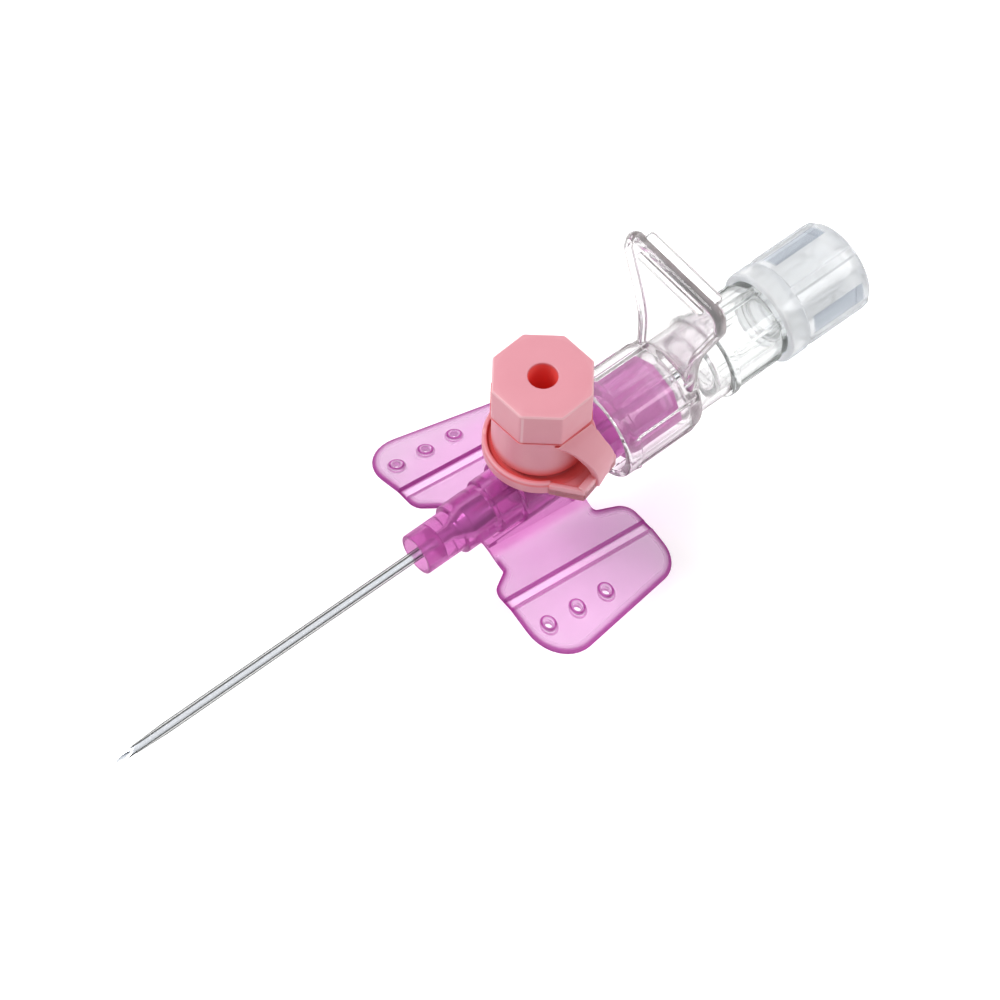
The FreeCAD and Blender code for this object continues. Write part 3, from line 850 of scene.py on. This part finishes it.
def wing_groundwork(outline, last, levels):
    """Flat points and edges of the wings' faces, and the eyelets' lift at points of their rings."""
    around = len(outline)
    flat = [tuple(p) for p in last]
    edges = [(i, (i + 1) % around) for i in range(around)]
    for level in levels:
        ends = [i for i in range(around) if abs(last[i][1] - level) < 0.05]
        ends.sort(key=lambda i: last[i][0])
        if len(ends) < 2:
            continue
        a, b = ends[0], ends[-1]
        previous = a
        for k in range(1, 20):
            share = k / 20
            flat.append(tuple(last[a][c] + (last[b][c] - last[a][c]) * share for c in (0, 1)))
            edges.append((previous, len(flat) - 1))
            previous = len(flat) - 1
        edges.append((previous, b))
    lifts = {}
    for x, y in eyelet_centres:
        for radius, lift in eyelet_boss:
            first = len(flat)
            for k in range(eyelet_points):
                angle = 2 * math.pi * k / eyelet_points
                lifts[len(flat)] = lift
                flat.append((x + radius * math.cos(angle), y + radius * math.sin(angle)))
            edges += [(first + k, first + (k + 1) % eyelet_points) for k in range(eyelet_points)]
    grid = [
        (x, y)
        for x in np.arange(5.2, 22.6, 0.85)
        for y in np.arange(-15.2, 15.3, 0.85)
        if min(abs(abs(y) - groove_inner), abs(abs(y) - groove_outer)) > 0.3
        and all(math.dist((x, y), centre) > 1.25 for centre in eyelet_centres)
    ]
    keep = inside(grid, inset(outline, 1.15))
    flat += [point for point, good in zip(grid, keep) if good]
    return flat, edges, lifts


def wing_triangles(flat, edges, last):
    """The wings' faces cut into triangles, open at the eyelets, with each corner's source points."""
    solved = delaunay_2d_cdt([Vector(p) for p in flat], edges, [], 0, 1e-5)
    corners, triangles, origins = solved[0], solved[2], solved[3]
    middles = [tuple(sum(corners[i][c] for i in face) / len(face) for c in (0, 1)) for face in triangles]
    good = inside(middles, [tuple(Vector(p)) for p in last])
    for centre in eyelet_centres:
        away = np.hypot(*(np.asarray(middles) - np.asarray(centre)).T)
        good &= away > eyelet_radius * 0.99
    return corners, [face for face, fine in zip(triangles, good) if fine], origins


def wing_plate():
    """Both wings as one closed sheet with rounded rims, grooves and raised eyelets."""
    levels = []
    for edge in (groove_inner, groove_outer):
        levels += [edge - groove_flank, edge + groove_flank]
    levels += [-value for value in levels]
    outline = clockwise(crossing_points(divided(soften(wing_corners, 10), 0.7), levels))
    half = wing_thickness / 2
    rings = [[tuple(p) for p in inset(outline, d)] for d, _ in wing_rim]
    around = len(outline)
    flat, edges, lifts = wing_groundwork(outline, rings[-1], levels)
    corners, triangles, origins = wing_triangles(flat, edges, rings[-1])
    points = []

    def top(x, y, drop, lift=0.0):
        points.append((x, y, wing_level(x) + wing_section(y) - max(drop, groove_drop(y)) + lift))
        return len(points) - 1

    def bottom(x, y, drop, lift=0.0):
        points.append((x, y, wing_level(x) + wing_section(y) - wing_thickness + drop - 0.3 * lift))
        return len(points) - 1

    upper, lower = [], []
    for (distance, share), ring in zip(wing_rim, rings):
        drop = half * (1 - share)
        upper.append([top(x, y, drop) for x, y in ring])
        lower.append([bottom(x, y, drop) for x, y in ring] if distance else upper[-1])
    faces = walls_between(upper) + walls_between(lower, flip=True)
    up_index, down_index, hole_rings = {}, {}, {}
    for i in sorted({i for face in triangles for i in face}):
        x, y = corners[i]
        sources = [o for o in origins[i] if o < len(flat)]
        rim = [o for o in sources if o < around]
        if rim:
            up_index[i], down_index[i] = upper[-1][rim[0]], lower[-1][rim[0]]
            continue
        lift = max([lifts.get(o, 0.0) for o in sources] or [0.0])
        up_index[i] = top(x, y, 0.0, lift)
        down_index[i] = bottom(x, y, 0.0, lift)
        for centre in eyelet_centres:
            if abs(math.dist((x, y), centre) - eyelet_radius) < 0.005:
                angle = math.atan2(y - centre[1], x - centre[0])
                hole_rings.setdefault(centre, []).append((angle, i))
    for face in triangles:
        faces.append(tuple(up_index[i] for i in face))
        faces.append(tuple(down_index[i] for i in face[::-1]))
    for ring in hole_rings.values():
        ring = [i for _, i in sorted(ring)]
        for a, b in zip(ring, ring[1:] + ring[:1]):
            faces.append((up_index[a], up_index[b], down_index[b], down_index[a]))
    return make_object("wing_plate", points, faces, pink)


def paint_rim_shade(thing):
    """Marks the wings' borders, where the material paints shade that makes the moulding look darker, in an
    attribute of the mesh.
    """
    outline = np.array(divided(soften(wing_corners, 10), 0.7))
    following = np.roll(outline, -1, axis=0)
    mesh = thing.data
    spots = np.empty(len(mesh.vertices) * 3)
    mesh.vertices.foreach_get("co", spots)
    spots = spots.reshape(-1, 3) / MM
    values = np.zeros(len(spots))
    run = following - outline
    for i in np.nonzero((np.abs(spots[:, 1]) > 3.6) & (spots[:, 2] < -1.0))[0]:
        away = spots[i, :2] - outline
        share = np.clip((away * run).sum(1) / (run * run).sum(1), 0, 1)
        distance = np.hypot(*(away - run * share[:, None]).T).min()
        values[i] = smooth_step(-distance, -rim_shade_width, -0.2)
    rims = mesh.attributes.new("rim", "FLOAT", "POINT")
    rims.data.foreach_set("value", values)


def octagon_factor(angle, turn):
    """How far an octagon's side lies out at an angle, over its flat's distance, with eased corners."""
    step = 2 * math.pi / 8
    ease = 0.012
    away = (angle - turn) % step - step / 2
    reach = 1 / math.cos(away)
    limit = (1 - ease * 0.5) / math.cos(step / 2)
    share = max(0.0, min(1.0, 0.5 + 0.5 * (limit - reach) / ease))
    return limit * (1 - share) + reach * share - ease * share * (1 - share)


def octagon_angles(count, turn):
    """Even angles, closer together at the eight corners."""
    near = [math.radians(d) for d in (-4, -2.6, -1.7, -1.0, -0.4, 0, 0.4, 1.0, 1.7, 2.6, 4)]
    return angles_with(count, [turn + math.pi / 4 * i for i in range(8)], near)


def hub_body():
    """Turned barrel with its steps, the eight-sided collar and every bore along the axis."""
    profile = [
        (0, nose_recess_radius, 0.08),
        (0, nose_radius, 0.12),
        (nose_length, nose_radius, 0.06),
        (nose_length, first_step_radius, 0.22),
        (first_step_end, first_step_radius, 0.06),
        (first_step_end, second_step_radius, 0.22),
        (second_step_end, second_step_radius, 0.06),
        (second_step_end, barrel_radius, 0.22),
        (collar_start, barrel_radius, 0.1),
        (collar_start, collar_corner_radius * math.cos(math.pi / 8), 0.25),
        (hub_end, collar_corner_radius * math.cos(math.pi / 8), 0.2),
        (hub_end, luer_mouth_radius),
        (luer_start, luer_base_radius),
        (luer_start, channel_radius),
        (valve_end + 0.3, channel_radius),
        (valve_end, valve_seat_radius),
        (valve_start, valve_seat_radius),
        (valve_start - 0.3, channel_radius),
        (wedge_end, channel_radius),
        (wedge_end, wedge_seat_radius),
        (wedge_body_start, wedge_seat_radius),
        (wedge_start, catheter_radius + 0.01),
        (nose_recess_depth, catheter_radius + 0.01),
        (nose_recess_depth, nose_recess_radius, 0.3),
    ]
    turn = math.radians(collar_turn)
    angles = octagon_angles(120, turn)

    def radius_at(along, radius, angle):
        if collar_start - 0.01 < along < hub_end + 0.01 and radius > barrel_radius + 0.05:
            return radius * octagon_factor(angle, turn)
        return radius

    return turned_object("hub_body", divided(soften(profile), 3.0), angles, along_x, pink, radius_at)


def port_tower():
    """Solid tower with a saddle bottom inside the barrel's wall, and the bore's cutter."""
    profile = [
        (tower_bottom, 0.0),
        (tower_bottom, 0.8),
        (tower_bottom, 1.6),
        (tower_bottom, 2.4),
        (tower_bottom, port_radius),
        (lip_bottom, port_radius),
        (lip_bottom + 0.15, port_lip_radius, 0.08),
        (lip_top - 0.15, port_lip_radius, 0.08),
        (lip_top, port_top_radius),
        (port_top, port_top_radius, 0.15),
        (port_top, 0.0),
    ]

    def saddle(along, r, angle):
        x, y, z = up_z(along, r, angle)
        if along == tower_bottom:
            z = math.sqrt(max(0.0, tower_saddle_radius**2 - y * y))
        return x, y, z

    angles = angles_with(96, [], [])
    tower = turned_object("port_tower", soften(profile, closed=False), angles, saddle, pink)
    bore = [(1.0, 0.0), (1.0, port_bore_radius), (8.0, port_bore_radius), (8.0, 0.0)]
    return tower, turned_object("port_bore", bore, angles, up_z, pink)


def keel_block():
    """Fairing under the barrel and the core that opens it below."""
    front, rear, half = 7.15, 19.2, 2.35
    wall, end_wall = 0.75, 1.2
    outer = box("keel", front, rear, half, 0.3, -2.45)
    core = box("keel_core", front + end_wall, rear - end_wall, half - wall, -0.6, -barrel_radius - 0.02)
    return outer, core


def box(name, front, rear, half, lift, top):
    """A block from just above or below the wings' root up to a level top."""
    points = []
    for x in (front, rear):
        base = wing_level(x) + wing_root_rise - wing_thickness + lift
        for y in (-half, half):
            points += [(x, y, base), (x, y, top)]
    faces = [(0, 1, 3, 2), (4, 6, 7, 5), (0, 4, 5, 1), (2, 3, 7, 6), (1, 5, 7, 3), (0, 2, 6, 4)]
    return make_object(name, points, faces, pink)


def catheter_hub():
    tower, bore = port_tower()
    keel, core = keel_block()
    body = joined("hub_stage", hub_body(), [tower, keel, wing_plate()])
    hub = joined("catheter_hub_moulding", body, [bore, core], "DIFFERENCE")
    paint_rim_shade(hub)
    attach(hub, "catheter")
    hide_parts("catheter_hub")


def catheter_tube():
    """Thin tube, tapered at the tip and flared over the wedge."""
    flare_end = wedge_body_start - 0.01
    profile = [
        (-catheter_reach, catheter_tip_bore),
        (-catheter_reach, catheter_bore, 0.015),
        (catheter_taper_start, catheter_radius),
        (wedge_start, catheter_radius),
        (flare_end, 1.27),
        (flare_end, 1.13),
        (wedge_start, catheter_bore),
        (catheter_taper_start, catheter_bore),
    ]
    line = divided(soften(profile), 1.2)
    thing = turned_object("catheter_sleeve", line, angles_with(64, [], []), along_x, tube)
    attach(thing, "catheter")
    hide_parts("catheter_tube")


def needle():
    """Steel tube whose front end is cut on a slant."""
    inner = needle_radius - needle_wall
    tip = -needle_reach
    loop = [(tip, inner), (tip, needle_radius)]
    loop += [(x, needle_radius) for x in (-32.0, -20.0, 0.0, 20.0, needle_end)]
    loop += [(needle_end, inner), (-32.0, inner)]

    def slanted(along, r, angle):
        if along == tip:
            along += (r * math.cos(angle) + needle_radius) / (2 * needle_radius) * bevel_length
        return along_x(along, r, angle)

    thing = turned_object("needle_shaft", loop, angles_with(64, [], []), slanted, steel)
    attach(thing, "needle")
    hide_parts("needle_tube")


# Port cap, ring and strap
def port_cap():
    """Eight-sided head with a blind hole on a round stem, hollow below, with a plug for the port."""
    flat = cap_across_flats / 2
    profile = [
        (cap_hole_bottom, 0.0),
        (cap_hole_bottom, cap_hole_radius, 0.15),
        (head_top, cap_hole_radius, 0.12),
        (head_top, flat - 0.22),
        (head_top - 0.05, flat - 0.10),
        (head_top - 0.22, flat),
        (cap_head_bottom, flat, 0.12),
        (cap_head_bottom, stem_radius, 0.15),
        (stem_bottom, stem_radius, 0.15),
        (stem_bottom, cavity_radius),
        (cavity_top, cavity_radius),
        (cavity_top, plug_radius),
        (plug_bottom, plug_tip_radius, 0.1),
        (plug_bottom, 0.0),
    ]
    turn = math.radians(cap_turn) + math.pi / 8
    angles = octagon_angles(128, turn)

    def radius_at(along, radius, angle):
        if along > cap_head_bottom - 1e-6 and radius > flat - 0.3:
            return radius * octagon_factor(angle, turn)
        return radius

    line = divided(soften(profile, closed=False), 1.5, closed=False)
    thing = turned_object("port_cap_moulding", line, angles, up_z, salmon, radius_at, 25.0)
    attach(thing, "cap")
    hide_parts("port_cap")


def strap_ring():
    """Ring with a dished top whose rim opens towards the strap, and a flared tab with an end wall."""
    dish = ring_top - ring_dish
    rim_inner = ring_outer_radius - ring_rim_width
    profile = [
        (ring_bottom, ring_bore),
        (ring_bottom, ring_outer_radius, 0.2),
        (ring_top, ring_outer_radius, 0.2),
        (ring_top, rim_inner, 0.15),
        (dish, rim_inner, 0.2),
        (dish, ring_bore),
    ]
    toward = math.radians(strap_angle)

    def opened(along, r, angle):
        away = math.degrees(abs((angle - toward + math.pi) % (2 * math.pi) - math.pi))
        if along > dish:
            along = dish + (along - dish) * smooth_step(away, ring_opening_start, ring_opening_end)
        return up_z(along, r, angle)

    ring = turned_object("cap_ring_moulding", soften(profile), angles_with(144, [], []), opened, salmon)
    end = strap_reach - 0.15
    near, far = tab_half_width, strap_width / 2 + 0.25
    tab = [(tab_start, -near), (end, -far), (end, far), (tab_start, near)]
    parts = [flat_block(tab, ring_bottom, dish - 0.04)]
    for side in (-1, 1):
        strip = [(tab_start, side * near), (end, side * far)]
        strip += [(end, side * (far - ring_rim_width)), (tab_start, side * (near - ring_rim_width))]
        parts.append(flat_block(strip, ring_bottom, ring_top - 0.02))
    back = end - strap_thickness
    wall = [(back, -far), (end, -far), (end, far), (back, far)]
    parts.append(flat_block(wall, ring_bottom, ring_top + 0.15))
    everything = [ring, *parts]
    with bpy.context.temp_override(active_object=ring, selected_editable_objects=everything, object=ring):
        bpy.ops.object.join()
    finish_shading(ring)
    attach(ring, "strap_ring")
    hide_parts("cap_ring")


def flat_block(corners, bottom, top, bevel=0.14):
    """A prism with rounded edges, from corners given outwards from the port and across the strap."""
    work = bmesh.new()
    lower = [work.verts.new((u, v, bottom)) for u, v in corners]
    upper = [work.verts.new((u, v, top)) for u, v in corners]
    for face in (lower, upper, *walls_between([lower, upper])):
        work.faces.new(face)
    bmesh.ops.recalc_face_normals(work, faces=work.faces)
    bmesh.ops.bevel(work, geom=work.edges[:], offset=bevel, segments=3, affect="EDGES", profile=0.5)
    spin = Matrix.Translation((port_x, 0, 0)) @ Matrix.Rotation(math.radians(strap_angle), 4, "Z")
    bmesh.ops.transform(work, matrix=Matrix.Scale(MM, 4) @ spin, verts=work.verts)
    mesh = bpy.data.meshes.new("block")
    work.to_mesh(mesh)
    work.free()
    thing = bpy.data.objects.new("block", mesh)
    scene.collection.objects.link(thing)
    mesh.materials.append(salmon)
    finish_shading(thing)
    return thing


# The strap from the ring's tab to the cap: radius, height, angle and half width
strap_line = [
    (6.85, 4.95, -68.0, 1.65),
    (6.88, 6.00, -68.8, 1.62),
    (6.78, 6.90, -69.8, 1.60),
    (6.46, 7.93, -71.8, 1.58),
    (5.97, 8.91, -74.8, 1.60),
    (5.47, 9.85, -78.2, 1.68),
    (4.98, 10.65, -82.5, 1.85),
    (4.40, 11.25, -88.0, 2.10),
]


def strap_leg():
    """Bent strap from the ring's tab up to the cap."""
    keys = np.array(strap_line)
    steps = 36
    fine = np.linspace(0, len(keys) - 1, steps)
    line = np.stack([np.interp(fine, range(len(keys)), keys[:, c]) for c in range(4)], 1)
    for _ in range(3):
        line[1:-1] = (line[:-2] + 2 * line[1:-1] + line[2:]) / 4
    half_thick = strap_thickness / 2
    points, rings = [], []
    section = soften([(-1, -1, 0.3), (1, -1, 0.3), (1, 1, 0.3), (-1, 1, 0.3)], 3)
    for i in range(steps):
        radius, height, angle, half_wide = line[i]
        before, after = line[max(i - 1, 0)], line[min(i + 1, steps - 1)]
        slope = math.atan2(after[1] - before[1], after[0] - before[0])
        out, rise = -math.sin(slope) * half_thick, math.cos(slope) * half_thick
        turn = math.radians(angle)
        ring = []
        for a, b in section:
            wide = math.copysign(half_wide - (1 - abs(a)) * half_thick, a)
            r = radius + b * out
            x = port_x + r * math.cos(turn) - wide * math.sin(turn)
            y = r * math.sin(turn) + wide * math.cos(turn)
            ring.append(len(points))
            points.append((x, y, height + b * rise))
        rings.append(ring)
    faces = walls_between(rings) + [tuple(rings[0][::-1]), tuple(rings[-1])]
    thing = make_object("strap_leg", points, faces, salmon, 40.0)

    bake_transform(thing)
    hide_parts("cap_strap")


# Needle hub with its skirt and finger plate
def needle_hub():
    """Clear moulding with the inner cone, the ribbed skirt, the rear boss and the finger plate."""
    start, end = skirt_front + 1.2, disc_rear - 0.9
    ribs = dict(start=start, end=end, count=8, turn=28.0, width=0.5, height=0.22, flank=0.1)
    profile = [
        (skirt_front, skirt_inner, 0.1),
        (skirt_front, skirt_lip_radius, 0.2),
        (skirt_lip_end, skirt_lip_radius, 0.2),
        (skirt_lip_end + 0.2, skirt_radius, 0.1),
        (disc_rear, skirt_radius, 0.9),
        (disc_rear, boss_radius, 0.1),
        (boss_end, boss_radius, 0.1),
        (boss_end, boss_bore),
        (disc_rear, boss_bore, 0.2),
        (disc_rear, grip_radius),
        (grip_end, grip_radius, 0.1),
        (grip_end, needle_channel),
        (male_luer_start, needle_channel),
        (male_luer_start, male_luer_tip_radius, 0.1),
        (hub_end, male_luer_radius),
        (disc_front, male_luer_radius, 0.1),
        (disc_front, skirt_inner, 0.2),
    ]
    line = divided(soften(profile), 0.8)
    angles, radius_at = rib_angles(ribs, skirt_radius), ribbed(ribs, skirt_radius - 0.6)
    shell = turned_object("hub_shell", line, angles, along_x, clear, radius_at)
    hub = joined("needle_hub_moulding", shell, [finger_plate()])
    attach(hub, "needle")
    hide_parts("needle_hub")


def finger_plate():
    """Upright plate with a rounded rim round a thinner panel, a bar in front and a ledge behind."""
    right = [
        (3.95, 3.0, 0.0),
        (plate_neck_half_width, 8.2, 14.0),
        (plate_half_width, 15.9, 1.8),
        (plate_half_width - 0.45, plate_height, 1.6),
    ]
    left = [(-y, z, radius) for y, z, radius in right[::-1]]
    outline = clockwise(divided(soften([left[-1], *right, *left[:-1]], 10), 0.7))
    # How far in from the edge, and half the thickness there
    steps = [(0.0, 0.0), (0.04, 0.25), (0.12, 0.43), (0.25, 0.58), (0.42, 0.67)]
    steps += [(0.60, 0.70), (0.72, 0.66), (0.80, 0.55), (0.88, 0.46), (1.05, 0.45)]
    middle = (disc_front + plate_rear) / 2 + 0.02
    points, front, back = [], [], []

    def row(ring, x):
        first = len(points)
        points.extend((x, y, z) for y, z in ring)
        return list(range(first, len(points)))

    for distance, half in steps:
        ring = inset(outline, distance)
        front.append(row(ring, middle - half))
        back.append(row(ring, middle + half) if distance else front[-1])
    faces = []
    for rows in (front, back):
        faces += walls_between(rows)
        last, centre = rows[-1], len(points)
        points.append((points[last[0]][0], 0.0, 11.5))
        faces += [(a, b, centre) for a, b in zip(last, last[1:] + last[:1])]
    plate = make_object("plate", points, faces, clear)
    bar = capsule("bar", middle - 0.62, 0.42, 4.5, plate_bar_height, 0.28)
    ledge = capsule("ledge", middle + 0.85, 0.62, 5.0, plate_height - 0.5, 0.5)
    return joined("plate_joined", plate, [bar, ledge])


def capsule(name, x, half_depth, half_width, z, half_height):
    """A bar with rounded edges and ends, lying along Y."""
    points, rings = [], []
    section = soften([(-1, -1, 0.5), (1, -1, 0.5), (1, 1, 0.5), (-1, 1, 0.5)], 4)
    near_end = [(0.9, 1.0), (0.955, 0.95), (0.985, 0.8), (1.0, 0.55)]
    for share, size in [(-share, size) for share, size in near_end[::-1]] + near_end:
        ring = []
        for a, b in section:
            ring.append(len(points))
            points.append((x + a * half_depth * size, share * half_width, z + b * half_height * size))
        rings.append(ring)
    faces = walls_between(rings) + [tuple(rings[0]), tuple(rings[-1])]
    return make_object(name, points, faces, clear)


def flash_chamber():
    """Clear ribbed chamber that fits the boss, with a tail for the rear cap."""
    start, end = chamber_flange_end - 0.2, stopper_start - 0.3
    ribs = dict(start=start, end=end, count=6, turn=10.0, width=0.75, height=0.32, flank=0.12)
    end_wall = chamber_end - chamber_end_wall
    profile = [
        (chamber_front, needle_channel),
        (chamber_front, boss_bore - 0.01, 0.1),
        (boss_end, boss_bore - 0.01),
        (boss_end, chamber_flange_radius, 0.2),
        (chamber_flange_end, chamber_flange_radius, 0.2),
        (chamber_flange_end, chamber_radius, 0.1),
        (chamber_end, chamber_radius, 0.2),
        (chamber_end, tail_radius, 0.2),
        (tail_end, tail_radius, 0.2),
        (tail_end, tail_mouth_radius),
        (chamber_end, tail_bore),
        (end_wall, tail_bore, 0.1),
        (end_wall, chamber_inner_radius, 0.4),
        (chamber_front_wall_end, chamber_inner_radius, 0.3),
        (chamber_front_wall_end, needle_channel),
    ]
    line = divided(soften(profile), 0.8)
    angles = rib_angles(ribs, chamber_radius)
    radius_at = ribbed(ribs, chamber_radius - 0.05, chamber_radius + 0.3)
    thing = turned_object("flash_chamber_moulding", line, angles, along_x, chamber, radius_at)
    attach(thing, "needle")
    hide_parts("flash_chamber")


def rear_cap():
    """Frosted cap with a collar, five ribs, a vent and a cone inside the chamber's tail."""
    start, end = stopper_collar_end - 0.1, stopper_end - 0.35
    ribs = dict(start=start, end=end, count=5, turn=front_rib_turn, width=0.9, height=0.3, flank=0.14)
    end_wall = stopper_end - stopper_end_wall
    profile = [
        (stopper_start, stopper_collar_bore, 0.1),
        (stopper_start, stopper_collar_radius, 0.25),
        (stopper_collar_end, stopper_collar_radius, 0.2),
        (stopper_collar_end + 0.15, stopper_radius, 0.1),
        (stopper_end, stopper_radius, 0.55),
        (stopper_end, vent_radius, 0.1),
        (cone_start, vent_radius),
        (cone_start, cone_tip_radius, 0.1),
        (tail_end, cone_radius),
        (end_wall, cone_radius),
        (end_wall, stopper_inner_radius, 0.5),
        (stopper_collar_end + 0.6, stopper_inner_radius, 0.5),
        (stopper_collar_end - 0.4, stopper_collar_bore, 0.2),
    ]
    line = divided(soften(profile), 0.8)
    angles, radius_at = rib_angles(ribs, stopper_radius), ribbed(ribs, stopper_radius - 0.6)
    thing = turned_object("rear_cap_moulding", line, angles, along_x, frosted, radius_at)
    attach(thing, "rear_cap")
    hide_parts("luer_stopper")


carried_over = {
    "catheter_wedge": (steel, "steel"),
    "port_valve": (silicone, "silicone"),
    "vent_filter": (porous, "filter_material"),
}
for name, (material, slot) in carried_over.items():
    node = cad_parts[name]
    node.data.materials.clear()
    node.data.materials.append(material)

catheter_hub()
catheter_tube()
needle()
port_cap()
strap_ring()
strap_leg()
needle_hub()
flash_chamber()
rear_cap()

# Floor, world and lamps
floor_level = -9.9
floor_size = 1.0


def bright_rays(tree, strength):
    """A strength for camera, glossy and transmission rays and none for the others."""
    path = add_node(tree, "LightPath", {}).outputs
    seen = calculate(tree, "MAXIMUM", path["Is Camera Ray"], path["Is Glossy Ray"])
    seen = calculate(tree, "MAXIMUM", seen, path["Is Transmission Ray"])
    return product(tree, seen, strength)


def add_floor():
    bpy.ops.mesh.primitive_plane_add(size=floor_size, location=(0.01, 0, floor_level * MM))
    floor = bpy.context.object
    floor.name = "floor"
    material, tree, output = shader("floor")
    diffuse = add_node(tree, "BsdfDiffuse", {"Color": (0.9, 0.9, 0.9)})
    glow = add_node(tree, "Emission", {"Color": (1.0, 1.0, 1.0), "Strength": bright_rays(tree, 0.40)})
    both = add_node(tree, "AddShader", {0: diffuse.outputs[0], 1: glow.outputs[0]})
    tree.links.new(both.outputs[0], output.inputs["Surface"])
    floor.data.materials.append(material)


def add_camera():
    """Camera at the photograph's angle, aimed at the object."""
    azimuth = math.radians(camera_azimuth)
    elevation = math.radians(camera_elevation)
    roll = math.radians(camera_roll)
    flat = math.cos(elevation)
    back = Vector((flat * math.cos(azimuth), flat * math.sin(azimuth), math.sin(elevation)))
    level = Vector((-math.sin(azimuth), math.cos(azimuth), 0))
    up = back.cross(level)
    right = level * math.cos(roll) + up * math.sin(roll)
    data = bpy.data.cameras.new("photo_camera")
    data.lens = camera_lens
    data.sensor_width = 36.0
    data.clip_start = 0.01
    data.clip_end = 10.0
    camera = bpy.data.objects.new("photo_camera", data)
    scene.collection.objects.link(camera)
    place = Matrix((right, back.cross(right), back)).transposed().to_4x4()
    place.translation = (Vector(aim_point) + back * camera_distance) * MM
    camera.matrix_world = place
    scene.camera = camera


def add_lamp(name, position, size, power):
    """Soft lamp at a place in metres, aimed at the object."""
    data = bpy.data.lights.new(name, "AREA")
    data.shape = "RECTANGLE"
    data.size, data.size_y = size
    data.energy = power
    lamp = bpy.data.objects.new(name, data)
    scene.collection.objects.link(lamp)
    lamp.location = Vector(position)
    lamp.rotation_euler = Vector(position).to_track_quat("Z", "Y").to_euler()


def add_world():
    """Pale studio surroundings, a little darker near the horizon, where clear edges look."""
    world = bpy.data.worlds.new("studio")
    scene.world = world
    world.use_nodes = True
    tree = world.node_tree
    place = add_node(tree, "TexCoord", {})
    split = add_node(tree, "SeparateXYZ", {0: place.outputs["Generated"]})
    inputs = {"Value": split.outputs["Z"], "From Max": 0.7, "To Min": 0.55, "To Max": 0.95}
    height = add_node(tree, "MapRange", inputs)
    path = add_node(tree, "LightPath", {}).outputs
    bounced = calculate(tree, "MAXIMUM", path["Is Glossy Ray"], path["Is Transmission Ray"])
    inputs = {"Factor": bounced, "A": 0.45, "B": height.outputs["Result"]}
    light = add_node(tree, "Mix", inputs, data_type="FLOAT")
    strength = calculate(tree, "MAXIMUM", light.outputs["Result"], path["Is Camera Ray"])
    background = tree.nodes["Background"]
    background.inputs["Color"].default_value = (1, 1, 1, 1)
    tree.links.new(strength, background.inputs["Strength"])


add_camera()
add_floor()
add_world()
add_lamp("key", (-0.25, 0.35, 0.6), (0.35, 0.35), 3.2)
add_lamp("fill", (0.5, -0.4, 0.45), (0.4, 0.3), 1.6)
